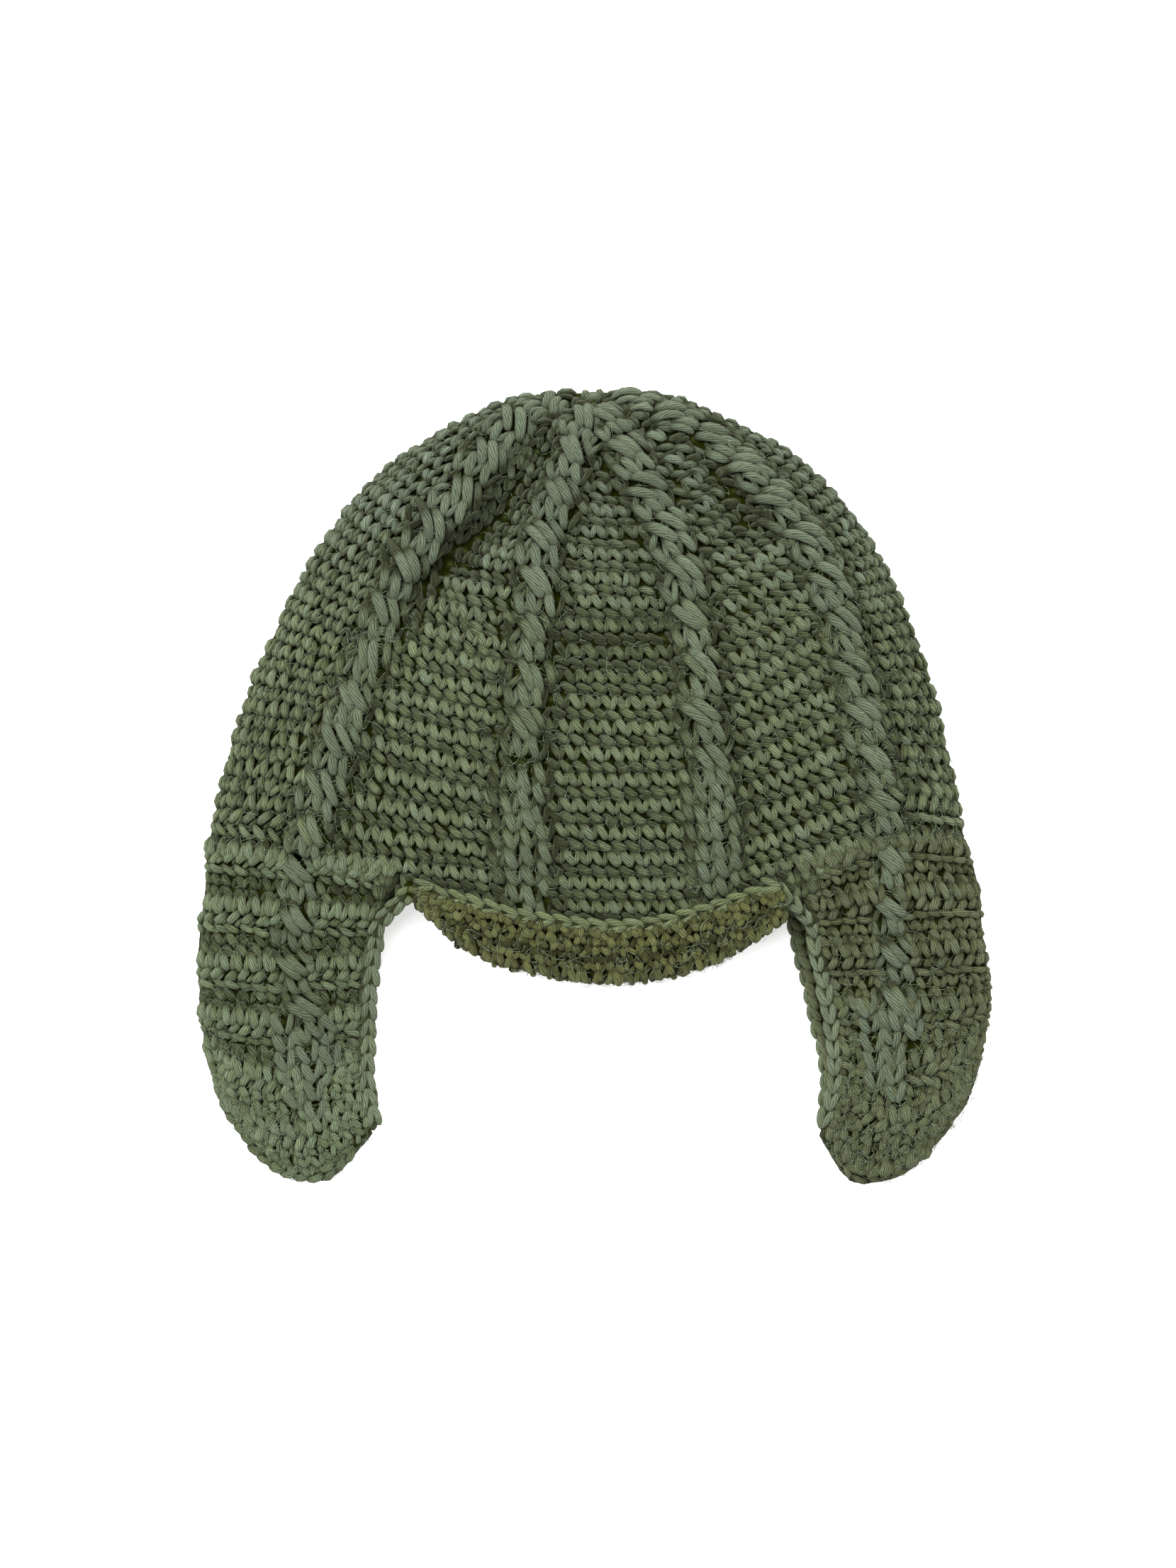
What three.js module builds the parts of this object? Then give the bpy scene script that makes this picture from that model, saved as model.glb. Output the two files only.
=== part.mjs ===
// Cable knit earflap cap, lying flat on its back with its front brim turned up.
// Millimetres. +X is the right of the front, +Y runs from the mouth to the top of the crown, and +Z is
// up, from the back of the cap, which lies on the floor at z = 0, to its front.
import * as THREE from "three";
import { mergeVertices } from "three/addons/utils/BufferGeometryUtils.js";

// Driving dimensions
const WALL = 5; // the fabric, cables left out
const GAP = 0.35; // between pieces that meet
const RIM_GAP = 0.6; // between the crown's rim and the brim that carries on from it
const RIM_SLANT = 0.8; // how much further down the brim starts on its inside
const CUFF_GAP = 0.45; // between the turned-up brim and the crown under it
const FOLD_Z = 12; // height of the side folds of the crown
const FLAP_FOLD_Z = 7; // height of the outer fold of a flap, away from the crown
const BACK_DEPTH = 15; // how far the back would hang below the folds, if the floor weren't there
const BACK_DEPTH_AT = 0.12; // the ring where the back has come down to that
const ROUNDNESS = 2.5; // exponent of the crown's cross section, 2 is an ellipse
const CABLE_RISE = 2.8;
const CABLE_HALF_WIDTH = 8.5;
const CABLE_STARTS = 0.12; // the ring where the cables have risen to their height
const CABLE_ENDS = [0.95, 1]; // the rings between which they sink away again, at the rim
const EDGING_RADIUS = 2.2;
const FLAP_EDGE_ROUND = 16; // how far in from its outer fold a flap reaches its full height
const RIDGE_PITCH = 18.1; // from one raised band of a flap to the next
const RIDGE_AHEAD = 1.7; // how far above the flap's top its first raised band would lie
const RIDGE_RISE = 1.1;
const RIDGED_LENGTH = 60; // how far down a flap its ridges run straight across

// The front, a row for each ring: t is 0 at the crown's pole and 1 at the tops of the flaps, loft is the
// front's height over the folds, then the two folds and the four front cables, as [x, y].
const RINGS = [
  {
    t: 0, loft: 0, left: [-0.5, 132], c1: [-0.5, 132], c2: [-0.5, 132],
    c3: [-0.5, 132], c4: [-0.5, 132], right: [-0.5, 132],
  },
  {
    t: 0.1, loft: 13, left: [-26, 130], c1: [-20.5, 125], c2: [-5.5, 118],
    c3: [6.5, 118.5], c4: [17.5, 127.5], right: [23, 131],
  },
  {
    t: 0.2, loft: 20, left: [-46, 121.5], c1: [-33, 113], c2: [-10, 101.5],
    c3: [15.5, 101], c4: [35, 118.5], right: [40.5, 124.5],
  },
  {
    t: 0.35, loft: 26, left: [-72.5, 104], c1: [-49, 89.5], c2: [-16.5, 79],
    c3: [27, 78], c4: [56.5, 99.5], right: [68, 110],
  },
  {
    t: 0.5, loft: 29, left: [-92, 79.5], c1: [-64, 63], c2: [-19.5, 54],
    c3: [32, 54], c4: [73.5, 76], right: [90, 85.5],
  },
  {
    t: 0.65, loft: 29, left: [-107, 51], c1: [-75.5, 40], c2: [-21.5, 29],
    c3: [35, 29], c4: [82, 51], right: [104.5, 57],
  },
  {
    t: 0.8, loft: 26, left: [-119, 21], c1: [-83, 15.5], c2: [-24, 2.5],
    c3: [38.5, 3], c4: [88.5, 23.5], right: [115, 25],
  },
  {
    t: 1, loft: 17, left: [-129, -19.5], c1: [-96, -23.5], c2: [-23, -32.5],
    c3: [40.5, -32.5], c4: [97, -17.5], right: [124, -18.5],
  },
  {
    t: 1.25, loft: 11, left: [-131, -47], c1: [-103, -56], c2: [-23, -69],
    c3: [41.5, -69], c4: [98, -54], right: [128.5, -49],
  },
];
const FRONT_COLUMNS = ["left", "c1", "c2", "c3", "c4", "right"];
const BACK_SHARES = [0, 0.12, 0.37, 0.63, 0.88, 1]; // the back's cables, as shares of its width

// Round the crown, k is 0 at the left fold, 1 to 4 on the front cables, 5 at the right fold and 6 to 9
// on the back cables. The rim's ring at each k:
const RIM = [
  { k: 0, t: 1 },
  { k: 1.46, t: 1 },
  { k: 1.52, t: 1 },
  { k: 1.75, t: 1.085 },
  { k: 2.0, t: 1.115 },
  { k: 2.5, t: 1.13 },
  { k: 3.0, t: 1.09 },
  { k: 3.2, t: 1.065 },
  { k: 3.36, t: 1.03 },
  { k: 3.41, t: 1 },
  { k: 5, t: 1 },
  { k: 6.53, t: 1 },
  { k: 7, t: 1.035 },
  { k: 8, t: 1.035 },
  { k: 8.47, t: 1 },
  { k: 10, t: 1 },
];

// The turned-up brim, a row for each place across it: the ring of its fold, the lowest line that shows,
// and the ring that its free edge lies on once it is turned up.
const BRIM = [
  { k: 1.52, fold: 1.052, edge: 1.02 },
  { k: 1.62, fold: 1.1, edge: 1.035 },
  { k: 1.75, fold: 1.157, edge: 1.045 },
  { k: 2.0, fold: 1.194, edge: 1.067 },
  { k: 2.5, fold: 1.21, edge: 1.079 },
  { k: 3.0, fold: 1.172, edge: 1.045 },
  { k: 3.2, fold: 1.138, edge: 1.03 },
  { k: 3.36, fold: 1.11, edge: 1.03 },
];

// Creases (fall) and bulges (rise) of the front, each along a line of two points [x, y].
const FOLDS = [
  { name: "lobe shadow, upper", from: [-28, 96], to: [-44, 77], rise: -5, width: 8 },
  { name: "lobe shadow, lower", from: [-46, 75], to: [-58, 60], rise: -4.5, width: 8 },
  { name: "lobe lip", from: [-46, 92], to: [-68, 66], rise: 3.5, width: 9 },
  { name: "bulge of the left panel", from: [-49, 65], to: [-33, 42], rise: 2.5, width: 8 },
  { name: "dent of the middle panel", from: [-12, 44], to: [26, 45], rise: -3, width: 13 },
  { name: "crease by the right head", from: [40, 110], to: [50, 84], rise: -3.5, width: 6 },
  { name: "crease by the third cable", from: [8, 96], to: [15, 69], rise: -2, width: 6 },
];

// The flaps, a row for each line of stitches: b is 0 at the crown and 1 round the tip, loft is the
// front's height over the fold, then four points [x, y] from the outer fold to the inner edge, and how
// far the back's edge lies from the front's.
const LEFT_FLAP = [
  {
    b: 0, loft: 17, under: -1,
    fold: [-129, -19.5], outer: [-107.5, -22], inner: [-86.5, -24], edge: [-65, -27.5],
  },
  {
    b: 0.13, loft: 13, under: -1,
    fold: [-129.5, -33], outer: [-110, -35], inner: [-90, -36], edge: [-70.5, -37.5],
  },
  {
    b: 0.27, loft: 10, under: -1,
    fold: [-131.5, -48.5], outer: [-112.5, -50], inner: [-93.5, -50.5], edge: [-74.5, -50.5],
  },
  {
    b: 0.42, loft: 8.5, under: -1,
    fold: [-132, -65.5], outer: [-113.5, -67], inner: [-94.5, -67], edge: [-76.5, -66],
  },
  {
    b: 0.56, loft: 8, under: -1,
    fold: [-131, -78.5], outer: [-114.5, -82], inner: [-96, -82.5], edge: [-77, -79.5],
  },
  {
    b: 0.7, loft: 7.5, under: -1,
    fold: [-129, -89], outer: [-114.5, -97.5], inner: [-96, -99], edge: [-77.5, -91.5],
  },
  {
    b: 0.85, loft: 7, under: -0.5,
    fold: [-126.5, -99], outer: [-112, -112.5], inner: [-94, -115.5], edge: [-77, -103],
  },
  {
    b: 1, loft: 7, under: 0,
    fold: [-123.5, -107.5], outer: [-107.5, -127], inner: [-88.5, -130.7], edge: [-72.8, -115.5],
  },
];
const RIGHT_FLAP = [
  {
    b: 0, loft: 17, under: -3,
    fold: [124, -18.5], outer: [106, -17.5], inner: [87.5, -19.5], edge: [66.5, -26],
  },
  {
    b: 0.13, loft: 13, under: -4,
    fold: [128, -32.5], outer: [109, -33], inner: [90, -34.5], edge: [71.5, -38],
  },
  {
    b: 0.27, loft: 10, under: -4.5,
    fold: [129.5, -48.5], outer: [112.5, -49.5], inner: [93.5, -50.5], edge: [75, -51],
  },
  {
    b: 0.42, loft: 8.5, under: -4.5,
    fold: [132, -64.5], outer: [114.5, -66], inner: [97, -66.5], edge: [78.5, -66],
  },
  {
    b: 0.56, loft: 8, under: -4,
    fold: [131.5, -77.5], outer: [115.5, -81], inner: [98, -82], edge: [81, -79],
  },
  {
    b: 0.7, loft: 7.5, under: -2.5,
    fold: [129.5, -88.5], outer: [114.5, -96.5], inner: [98, -99], edge: [82, -92],
  },
  {
    b: 0.85, loft: 7, under: -1,
    fold: [127, -98.5], outer: [111.5, -112.5], inner: [95.5, -116], edge: [80.5, -105],
  },
  {
    b: 1, loft: 7, under: 0,
    fold: [123.5, -107], outer: [105.5, -127.5], inner: [86, -131.4], edge: [75.3, -118],
  },
];
const FLAP_COLUMNS = ["fold", "outer", "inner", "edge"];

const OLIVE = new THREE.Color(0x535a44);
const SAGE = new THREE.Color(0x5c6a5d);

// Tables and curves
function clamp(value, low, high) {
  return Math.min(high, Math.max(low, value));
}

function step(from, to, at) {
  const f = clamp((at - from) / (to - from), 0, 1);
  return f * f * (3 - 2 * f);
}

// A smooth curve through a value of each row of a table.
function smooth(rows, key, at, value) {
  let i = 1;
  while (i < rows.length - 1 && at > rows[i][key]) i += 1;
  const from = rows[i - 1];
  const to = rows[i];
  const before = rows[i - 2] ?? from;
  const after = rows[i + 1] ?? to;
  const span = to[key] - from[key];
  const f = (at - from[key]) / span;
  const slopeFrom = (span * (value(to) - value(before))) / (to[key] - before[key]);
  const slopeTo = (span * (value(after) - value(from))) / (after[key] - from[key]);
  const f2 = f * f;
  const f3 = f2 * f;
  const start = (2 * f3 - 3 * f2 + 1) * value(from) + (f3 - 2 * f2 + f) * slopeFrom;
  return start + (3 * f2 - 2 * f3) * value(to) + (f3 - f2) * slopeTo;
}

// The same along a list of points, which are one unit of the way apart.
function through(points, at) {
  const rows = points.map((point, i) => ({ i, point }));
  return [0, 1].map((axis) => smooth(rows, "i", at, (row) => row.point[axis]));
}

function column(rows, key, at, name) {
  return [0, 1].map((axis) => smooth(rows, key, at, (row) => row[name][axis]));
}

// The crown
function ringPoints(t, front) {
  const frontPoints = FRONT_COLUMNS.map((name) => column(RINGS, "t", t, name));
  if (front) return frontPoints;
  const [left, , second, third, , right] = frontPoints;
  const drop = (left[1] + right[1] - second[1] - third[1]) / 2;
  return BACK_SHARES.map((share) => {
    const sag = drop * Math.pow(4 * share * (1 - share), 0.8);
    return [right[0] + (left[0] - right[0]) * share, right[1] + (left[1] - right[1]) * share - sag];
  });
}

function foldRelief(x, y) {
  let rise = 0;
  for (const fold of FOLDS) {
    const along = [fold.to[0] - fold.from[0], fold.to[1] - fold.from[1]];
    const toPoint = [x - fold.from[0], y - fold.from[1]];
    const length2 = along[0] ** 2 + along[1] ** 2;
    const f = clamp((along[0] * toPoint[0] + along[1] * toPoint[1]) / length2, 0, 1);
    const away = Math.hypot(toPoint[0] - along[0] * f, toPoint[1] - along[1] * f);
    rise += fold.rise * Math.exp(-((away / fold.width) ** 2));
  }
  return rise;
}

// How much a cable raises the front at a point of the crown.
function cableRelief(points, k, t, x, y) {
  const cable = Math.round(k);
  if (cable < 1 || cable > 4) return 0;
  const away = Math.hypot(x - points[cable][0], y - points[cable][1]) / CABLE_HALF_WIDTH;
  const ends = 1 - step(CABLE_ENDS[0], CABLE_ENDS[1], t);
  return CABLE_RISE * ends * step(0, CABLE_STARTS, t) * Math.max(0, 1 - away * away) ** 1.2;
}

// A point of the crown's outside, or of its inside if inset is the wall, at k round it and ring t.
function crownPoint(k, t, inset = 0) {
  const front = k <= 5;
  const points = ringPoints(t, front);
  const [x, y] = through(points, front ? k : k - 5);
  const first = points[0][0];
  const last = points[5][0];
  const halfWidth = Math.abs(last - first) / 2;
  const middle = (first + last) / 2;
  const across = halfWidth > 0 ? clamp(Math.abs(x - middle) / halfWidth, 0, 1) : 0;
  const profile = (1 - across ** ROUNDNESS) ** (1 / ROUNDNESS);
  const drawIn = halfWidth > 0 ? (inset / (halfWidth + inset)) * across ** 4 : 0;
  const insideX = x - (x - middle) * drawIn;
  const insideY = y - inset * (1 - clamp(t, 0, 1)) ** 2;
  if (front) {
    const loft = smooth(RINGS, "t", t, (row) => row.loft);
    const relief = foldRelief(x, y) + (inset ? 0 : cableRelief(points, k, t, x, y));
    const height = (loft - inset * Math.min(1, loft / 12)) * profile + relief * profile;
    return new THREE.Vector3(insideX, insideY, FOLD_Z + height);
  }
  const depth = BACK_DEPTH * Math.sqrt(clamp(t / BACK_DEPTH_AT, 0, 1));
  const fall = (depth - inset * Math.min(1, depth / 12)) * (1 - across ** 6) ** 0.25;
  return new THREE.Vector3(insideX, insideY, Math.max(inset, FOLD_Z - fall));
}

function rimRing(k) {
  return smoothLinear(RIM, "k", k, "t");
}

function smoothLinear(rows, key, at, name) {
  let i = 1;
  while (i < rows.length - 1 && at > rows[i][key]) i += 1;
  const f = (at - rows[i - 1][key]) / (rows[i][key] - rows[i - 1][key]);
  return rows[i - 1][name] + (rows[i][name] - rows[i - 1][name]) * f;
}

// Columns round the crown: a place on a cable or fold, and how many millimetres beside it.
const PLAIN_COLUMNS = [
  [0, 0.05, 0.16, 0.36],
  [1.46, 1.52, 1.75],
  [2.32, 2.5, 2.68],
  [3.2, 3.36, 3.41, 3.65],
  [4.64, 4.84, 4.95, 5, 5.06, 5.2, 5.45, 5.8, 6.2, 6.53, 6.75, 7, 7.33],
  [7.67, 8, 8.25, 8.47, 8.8, 9.2, 9.55, 9.8, 9.94],
];

function crownColumns() {
  const shoulders = [-1, -0.5, 0.5, 1].map((side) => side * CABLE_HALF_WIDTH);
  const plain = (stretch) => PLAIN_COLUMNS[stretch].map((k) => ({ k, beside: 0 }));
  const cable = (k) => shoulders.map((beside) => ({ k, beside }));
  return [1, 2, 3, 4].flatMap((k) => [...plain(k - 1), ...cable(k)]).concat(plain(4), plain(5));
}

const CROWDED = 0.34; // the most that a cable's shoulder may take of the way to the next cable

function columnPlace({ k, beside }, t) {
  if (!beside) return k;
  const points = ringPoints(t, true);
  const next = k + Math.sign(beside);
  const spacing = Math.hypot(points[next][0] - points[k][0], points[next][1] - points[k][1]);
  const most = CROWDED / CABLE_HALF_WIDTH;
  return k + beside * Math.min(1 / Math.max(spacing, 0.01), most);
}

// Solids
// Triangles between two rows of points, each of which has the same number of points.
function ribbon(triangles, row, next) {
  for (let i = 0; i + 1 < row.length; i += 1) {
    triangles.push([row[i], row[i + 1], next[i + 1]], [row[i], next[i + 1], next[i]]);
  }
}

function ribbons(rows) {
  const triangles = [];
  for (let i = 0; i + 1 < rows.length; i += 1) ribbon(triangles, rows[i], rows[i + 1]);
  return triangles;
}

function reversed(triangles) {
  return triangles.map(([a, b, c]) => [a, c, b]);
}

// A closed mesh of triangles of points, turned so that its faces look out.
function solid(triangles) {
  const positions = triangles.flatMap((corners) => corners.flatMap((point) => point.toArray()));
  const loose = new THREE.BufferGeometry();
  loose.setAttribute("position", new THREE.Float32BufferAttribute(positions, 3));
  const merged = mergeVertices(loose, 1e-4);
  const index = merged.index.array;
  const kept = [];
  for (let i = 0; i < index.length; i += 3) {
    const [a, b, c] = index.slice(i, i + 3);
    if (a !== b && b !== c && c !== a) kept.push(a, b, c);
  }
  const volume = signedVolume(merged.attributes.position, kept);
  if (volume < 0) {
    for (let i = 0; i < kept.length; i += 3) [kept[i + 1], kept[i + 2]] = [kept[i + 2], kept[i + 1]];
  }
  merged.setIndex(kept);
  merged.computeVertexNormals();
  return merged;
}

function signedVolume(positions, index) {
  const [a, b, c] = [new THREE.Vector3(), new THREE.Vector3(), new THREE.Vector3()];
  let volume = 0;
  for (let i = 0; i < index.length; i += 3) {
    a.fromBufferAttribute(positions, index[i]);
    b.fromBufferAttribute(positions, index[i + 1]);
    c.fromBufferAttribute(positions, index[i + 2]);
    volume += a.dot(b.cross(c)) / 6;
  }
  return volume;
}

const RING_COUNT = 24;

function crownGeometry() {
  const columns = crownColumns();
  const ring = (share, inset) => {
    const points = columns.map((column) => {
      const k = columnPlace(column, share);
      return crownPoint(k, share * rimRing(k), inset);
    });
    return [...points, points[0]];
  };
  const shares = Array.from({ length: RING_COUNT + 1 }, (_, i) => (i / RING_COUNT) ** 1.15);
  const outside = shares.map((share) => ring(share, 0));
  const inside = shares.filter((_, i) => i % 2 === 0).map((share) => ring(share, WALL));
  const rim = [outside.at(-1), inside.at(-1)];
  return solid([...ribbons(outside), ...ribbons(rim), ...reversed(ribbons(inside))]);
}

// The turned-up brim
function unitsPerRing(k, t) {
  return crownPoint(k, t).distanceTo(crownPoint(k, t + 0.02)) / 0.02;
}

// A point over the crown's front, so many millimetres off it.
function overCrown(k, t, off) {
  const at = crownPoint(k, t);
  const across = crownPoint(k + 0.03, t).sub(crownPoint(k - 0.03, t));
  const along = crownPoint(k, t + 0.01).sub(crownPoint(k, t - 0.01));
  const normal = across.cross(along).negate().normalize();
  return at.addScaledVector(normal, off);
}

function brimSection(k) {
  const fold = smooth(BRIM, "k", k, (row) => row.fold);
  const edge = smooth(BRIM, "k", k, (row) => row.edge);
  const units = unitsPerRing(k, 1.1);
  const noseRadius = WALL + CUFF_GAP / 2;
  const turn = fold - noseRadius / units;
  const start = Math.min(rimRing(k) + RIM_GAP / units, turn - 0.5 / units);
  const top = CUFF_GAP + WALL;
  const middle = (turn + edge) / 2;
  const section = [[start + RIM_SLANT / units, -WALL]];
  for (let degrees = -90; degrees <= 90; degrees += 30) {
    const angle = THREE.MathUtils.degToRad(degrees);
    const outward = turn + (noseRadius * Math.cos(angle)) / units;
    section.push([outward, CUFF_GAP / 2 + noseRadius * Math.sin(angle)]);
  }
  section.push([middle, top], [edge + 1.2 / units, top], [edge, top - 1.2], [edge, CUFF_GAP + 1.2]);
  section.push([edge + 1.2 / units, CUFF_GAP], [middle, CUFF_GAP], [turn, CUFF_GAP]);
  section.push([turn + CUFF_GAP / 2 / units, CUFF_GAP / 2], [turn, 0], [start, 0]);
  return section.map(([t, off]) => overCrown(k, t, off));
}

const BRIM_OUTSIDE = 11; // points of a section that lie on its outside

// The end of the brim: triangles between the outside of its section and the inside, from rim to edge.
function brimEnd(section) {
  const outside = section.slice(0, BRIM_OUTSIDE);
  const inside = section.slice(BRIM_OUTSIDE).reverse();
  const faces = [];
  let [i, j] = [0, 0];
  while (i < outside.length - 1 || j < inside.length - 1) {
    const outsideNext = i < outside.length - 1 && i / outside.length <= j / inside.length;
    if (outsideNext || j === inside.length - 1) {
      faces.push([outside[i], outside[i + 1], inside[j]]);
      i += 1;
    } else {
      faces.push([outside[i], inside[j + 1], inside[j]]);
      j += 1;
    }
  }
  return faces;
}

const BRIM_STATIONS = 26;

function brimGeometry() {
  const first = BRIM[0].k;
  const last = BRIM.at(-1).k;
  const sections = [];
  for (let i = 0; i <= BRIM_STATIONS; i += 1) {
    sections.push(brimSection(first + ((last - first) * i) / BRIM_STATIONS));
  }
  const walls = ribbons(sections.map((section) => [...section, section[0]]));
  return solid(turnedAlike(walls, brimEnd(sections[0]), brimEnd(sections.at(-1))));
}

// Caps whose edges run against those of the walls that they close.
function turnedAlike(walls, ...caps) {
  const keyOf = (a, b) => `${a.toArray()}|${b.toArray()}`;
  const edges = new Set(walls.flatMap(([a, b, c]) => [keyOf(a, b), keyOf(b, c), keyOf(c, a)]));
  const turned = caps.map((cap) => {
    const runsAlong = ([a, b, c]) => [keyOf(a, b), keyOf(b, c), keyOf(c, a)].some((key) => edges.has(key));
    return cap.some(runsAlong) ? reversed(cap) : cap;
  });
  return [...walls, ...turned.flat()];
}

// The flaps
function crownPlaceAt(x, k0, k1) {
  let [low, high] = [k0, k1];
  const grows = crownPoint(k1, 1).x > crownPoint(k0, 1).x;
  for (let i = 0; i < 30; i += 1) {
    const middle = (low + high) / 2;
    if (crownPoint(middle, 1).x > x === grows) high = middle;
    else low = middle;
  }
  return (low + high) / 2;
}

// A point of a flap: a is 0 at the outer fold and 1 at the inner edge, b is 0 at the crown, 1 at the tip.
function flapPoint(flap, front, a, b, inset = 0) {
  const { rows } = flap;
  const pick = (name) => column(rows, "b", b, name);
  const width = Math.hypot(pick("edge")[0] - pick("fold")[0], pick("edge")[1] - pick("fold")[1]);
  const length = pick("inner")[1] - column(rows, "b", 1, "inner")[1];
  const depth = column(rows, "b", 0, "inner")[1] - column(rows, "b", 1, "inner")[1];
  const insideA = a + ((1 - a) * inset) / width;
  const insideB = b * (1 - inset / depth);
  const points = FLAP_COLUMNS.map((name) => column(rows, "b", insideB, name));
  const [x, y] = through(points, insideA * 3);
  const under = front ? 0 : smooth(rows, "b", insideB, (row) => row.under) * insideA;
  const fromFold = Math.max(0, 1 - (a * width) / FLAP_EDGE_ROUND);
  const fromTip = Math.max(0, 1 - length / FLAP_EDGE_ROUND);
  const corner = Math.min(1, Math.hypot(fromFold, fromTip));
  const profile = (1 - corner ** ROUNDNESS) ** (1 / ROUNDNESS);
  const foldZ = FOLD_Z + (FLAP_FOLD_Z - FOLD_Z) * step(0, 0.5, b);
  const loft = smooth(rows, "b", b, (row) => row.loft) - inset;
  const down = Math.max(inset, foldZ - (BACK_DEPTH - inset) * profile);
  const z = front ? foldZ + (loft + (inset ? 0 : ridge(depth - length))) * profile : down;
  const own = new THREE.Vector3(x + under, y, z);
  const blend = 1 - step(0, 0.3, b);
  if (blend === 0) return own;
  const [foldK, edgeK] = front ? flap.frontPlaces : flap.backPlaces;
  const k = crownPlaceAt(flapTopX(flap, front, a), foldK, edgeK);
  const rim = crownPoint(k, 1, inset);
  rim.y -= GAP;
  const top = ownAtTop(flap, front, a, inset);
  return own.addScaledVector(rim.sub(top), blend);
}

function flapTopX(flap, front, a) {
  const points = FLAP_COLUMNS.map((name) => flap.rows[0][name]);
  return through(points, a * 3)[0] + (front ? 0 : flap.rows[0].under * a);
}

function ownAtTop(flap, front, a, inset) {
  const row = flap.rows[0];
  const points = FLAP_COLUMNS.map((name) => row[name]);
  const width = Math.hypot(row.edge[0] - row.fold[0], row.edge[1] - row.fold[1]);
  const insideA = a + ((1 - a) * inset) / width;
  const [x, y] = through(points, insideA * 3);
  const fromFold = Math.min(1, Math.max(0, 1 - (a * width) / FLAP_EDGE_ROUND));
  const profile = (1 - fromFold ** ROUNDNESS) ** (1 / ROUNDNESS);
  const down = Math.max(inset, FOLD_Z - (BACK_DEPTH - inset) * profile);
  const z = front ? FOLD_Z + (row.loft - inset) * profile : down;
  return new THREE.Vector3(x + (front ? 0 : row.under * insideA), y, z);
}

function ridge(down) {
  const fade = step(0, RIDGE_PITCH, down) * (1 - step(RIDGED_LENGTH, RIDGED_LENGTH + 6, down));
  return fade * RIDGE_RISE * Math.cos((2 * Math.PI * (down + RIDGE_AHEAD)) / RIDGE_PITCH);
}

const FLAP_ACROSS = [0, 0.03, 0.09, 0.18, 0.3, 0.45, 0.6, 0.75, 0.88, 1];
const FLAP_ROWS = 20;

function flapGeometry(flap) {
  const rowsDown = Array.from({ length: FLAP_ROWS + 1 }, (_, i) => i / FLAP_ROWS);
  const sheet = (front, inset) =>
    rowsDown.map((b) => FLAP_ACROSS.map((a) => flapPoint(flap, front, a, b, inset)));
  const outFront = sheet(true, 0);
  const outBack = sheet(false, 0);
  const inFront = sheet(true, WALL);
  const inBack = sheet(false, WALL);
  // At the outer fold and round the tip the two layers are one.
  for (const [front, back] of [[outFront, outBack], [inFront, inBack]]) {
    back.forEach((row, i) => {
      row[0] = front[i][0];
    });
    front.at(-1).forEach((point, j) => {
      back.at(-1)[j] = point;
    });
  }
  const edgeOf = (rows) => rows.map((row) => row.at(-1));
  const triangles = [
    ...ribbons(outFront),
    ...reversed(ribbons(outBack)),
    ...reversed(ribbons(inFront)),
    ...ribbons(inBack),
    ...reversed(ribbons([outFront[0], inFront[0]])),
    ...ribbons([outBack[0], inBack[0]]),
    ...reversed(ribbons([edgeOf(outFront), edgeOf(inFront)])),
    ...ribbons([edgeOf(outBack), edgeOf(inBack)]),
  ];
  return solid(triangles);
}

// The edging
const EDGING_SIDES = 6;

// A round cord along a list of points, with flat ends.
function cord(points, stations) {
  const curve = new THREE.CatmullRomCurve3(points, false, "centripetal");
  const sections = [];
  const up = new THREE.Vector3(0, 0, 1);
  for (let i = 0; i <= stations; i += 1) {
    const at = curve.getPointAt(i / stations);
    const along = curve.getTangentAt(i / stations);
    const side = sideways(along, up);
    const rise = new THREE.Vector3().crossVectors(side, along);
    const section = [];
    for (let j = 0; j < EDGING_SIDES; j += 1) {
      const angle = (2 * Math.PI * j) / EDGING_SIDES;
      const point = at.clone().addScaledVector(side, EDGING_RADIUS * Math.cos(angle));
      section.push(point.addScaledVector(rise, EDGING_RADIUS * Math.sin(angle)));
    }
    sections.push(section);
  }
  const walls = ribbons(sections.map((section) => [...section, section[0]]));
  const cap = (section) => section.slice(1, -1).map((point, i) => [section[0], point, section[i + 2]]);
  return solid(turnedAlike(walls, cap(sections[0]), cap(sections.at(-1))));
}

let lastSide = null;

function sideways(along, up) {
  const side = new THREE.Vector3().crossVectors(along, up);
  if (lastSide && side.dot(lastSide) < 0) side.negate();
  if (side.length() < 0.2 && lastSide) side.copy(lastSide);
  side.normalize();
  lastSide = side.clone();
  return side;
}

const BESIDE = EDGING_RADIUS + GAP;
const FLAP_BESIDE = EDGING_RADIUS + 2.4 * GAP; // a flap's edge slants, so the cord keeps further off it

function brimEdging() {
  const points = [];
  for (let i = 0; i <= 20; i += 1) {
    const k = BRIM[0].k + ((BRIM.at(-1).k - BRIM[0].k) * i) / 20;
    const edge = smooth(BRIM, "k", k, (row) => row.edge);
    points.push(overCrown(k, edge - BESIDE / unitsPerRing(k, 1), CUFF_GAP + WALL / 2));
  }
  return cord(points, 30);
}

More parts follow.
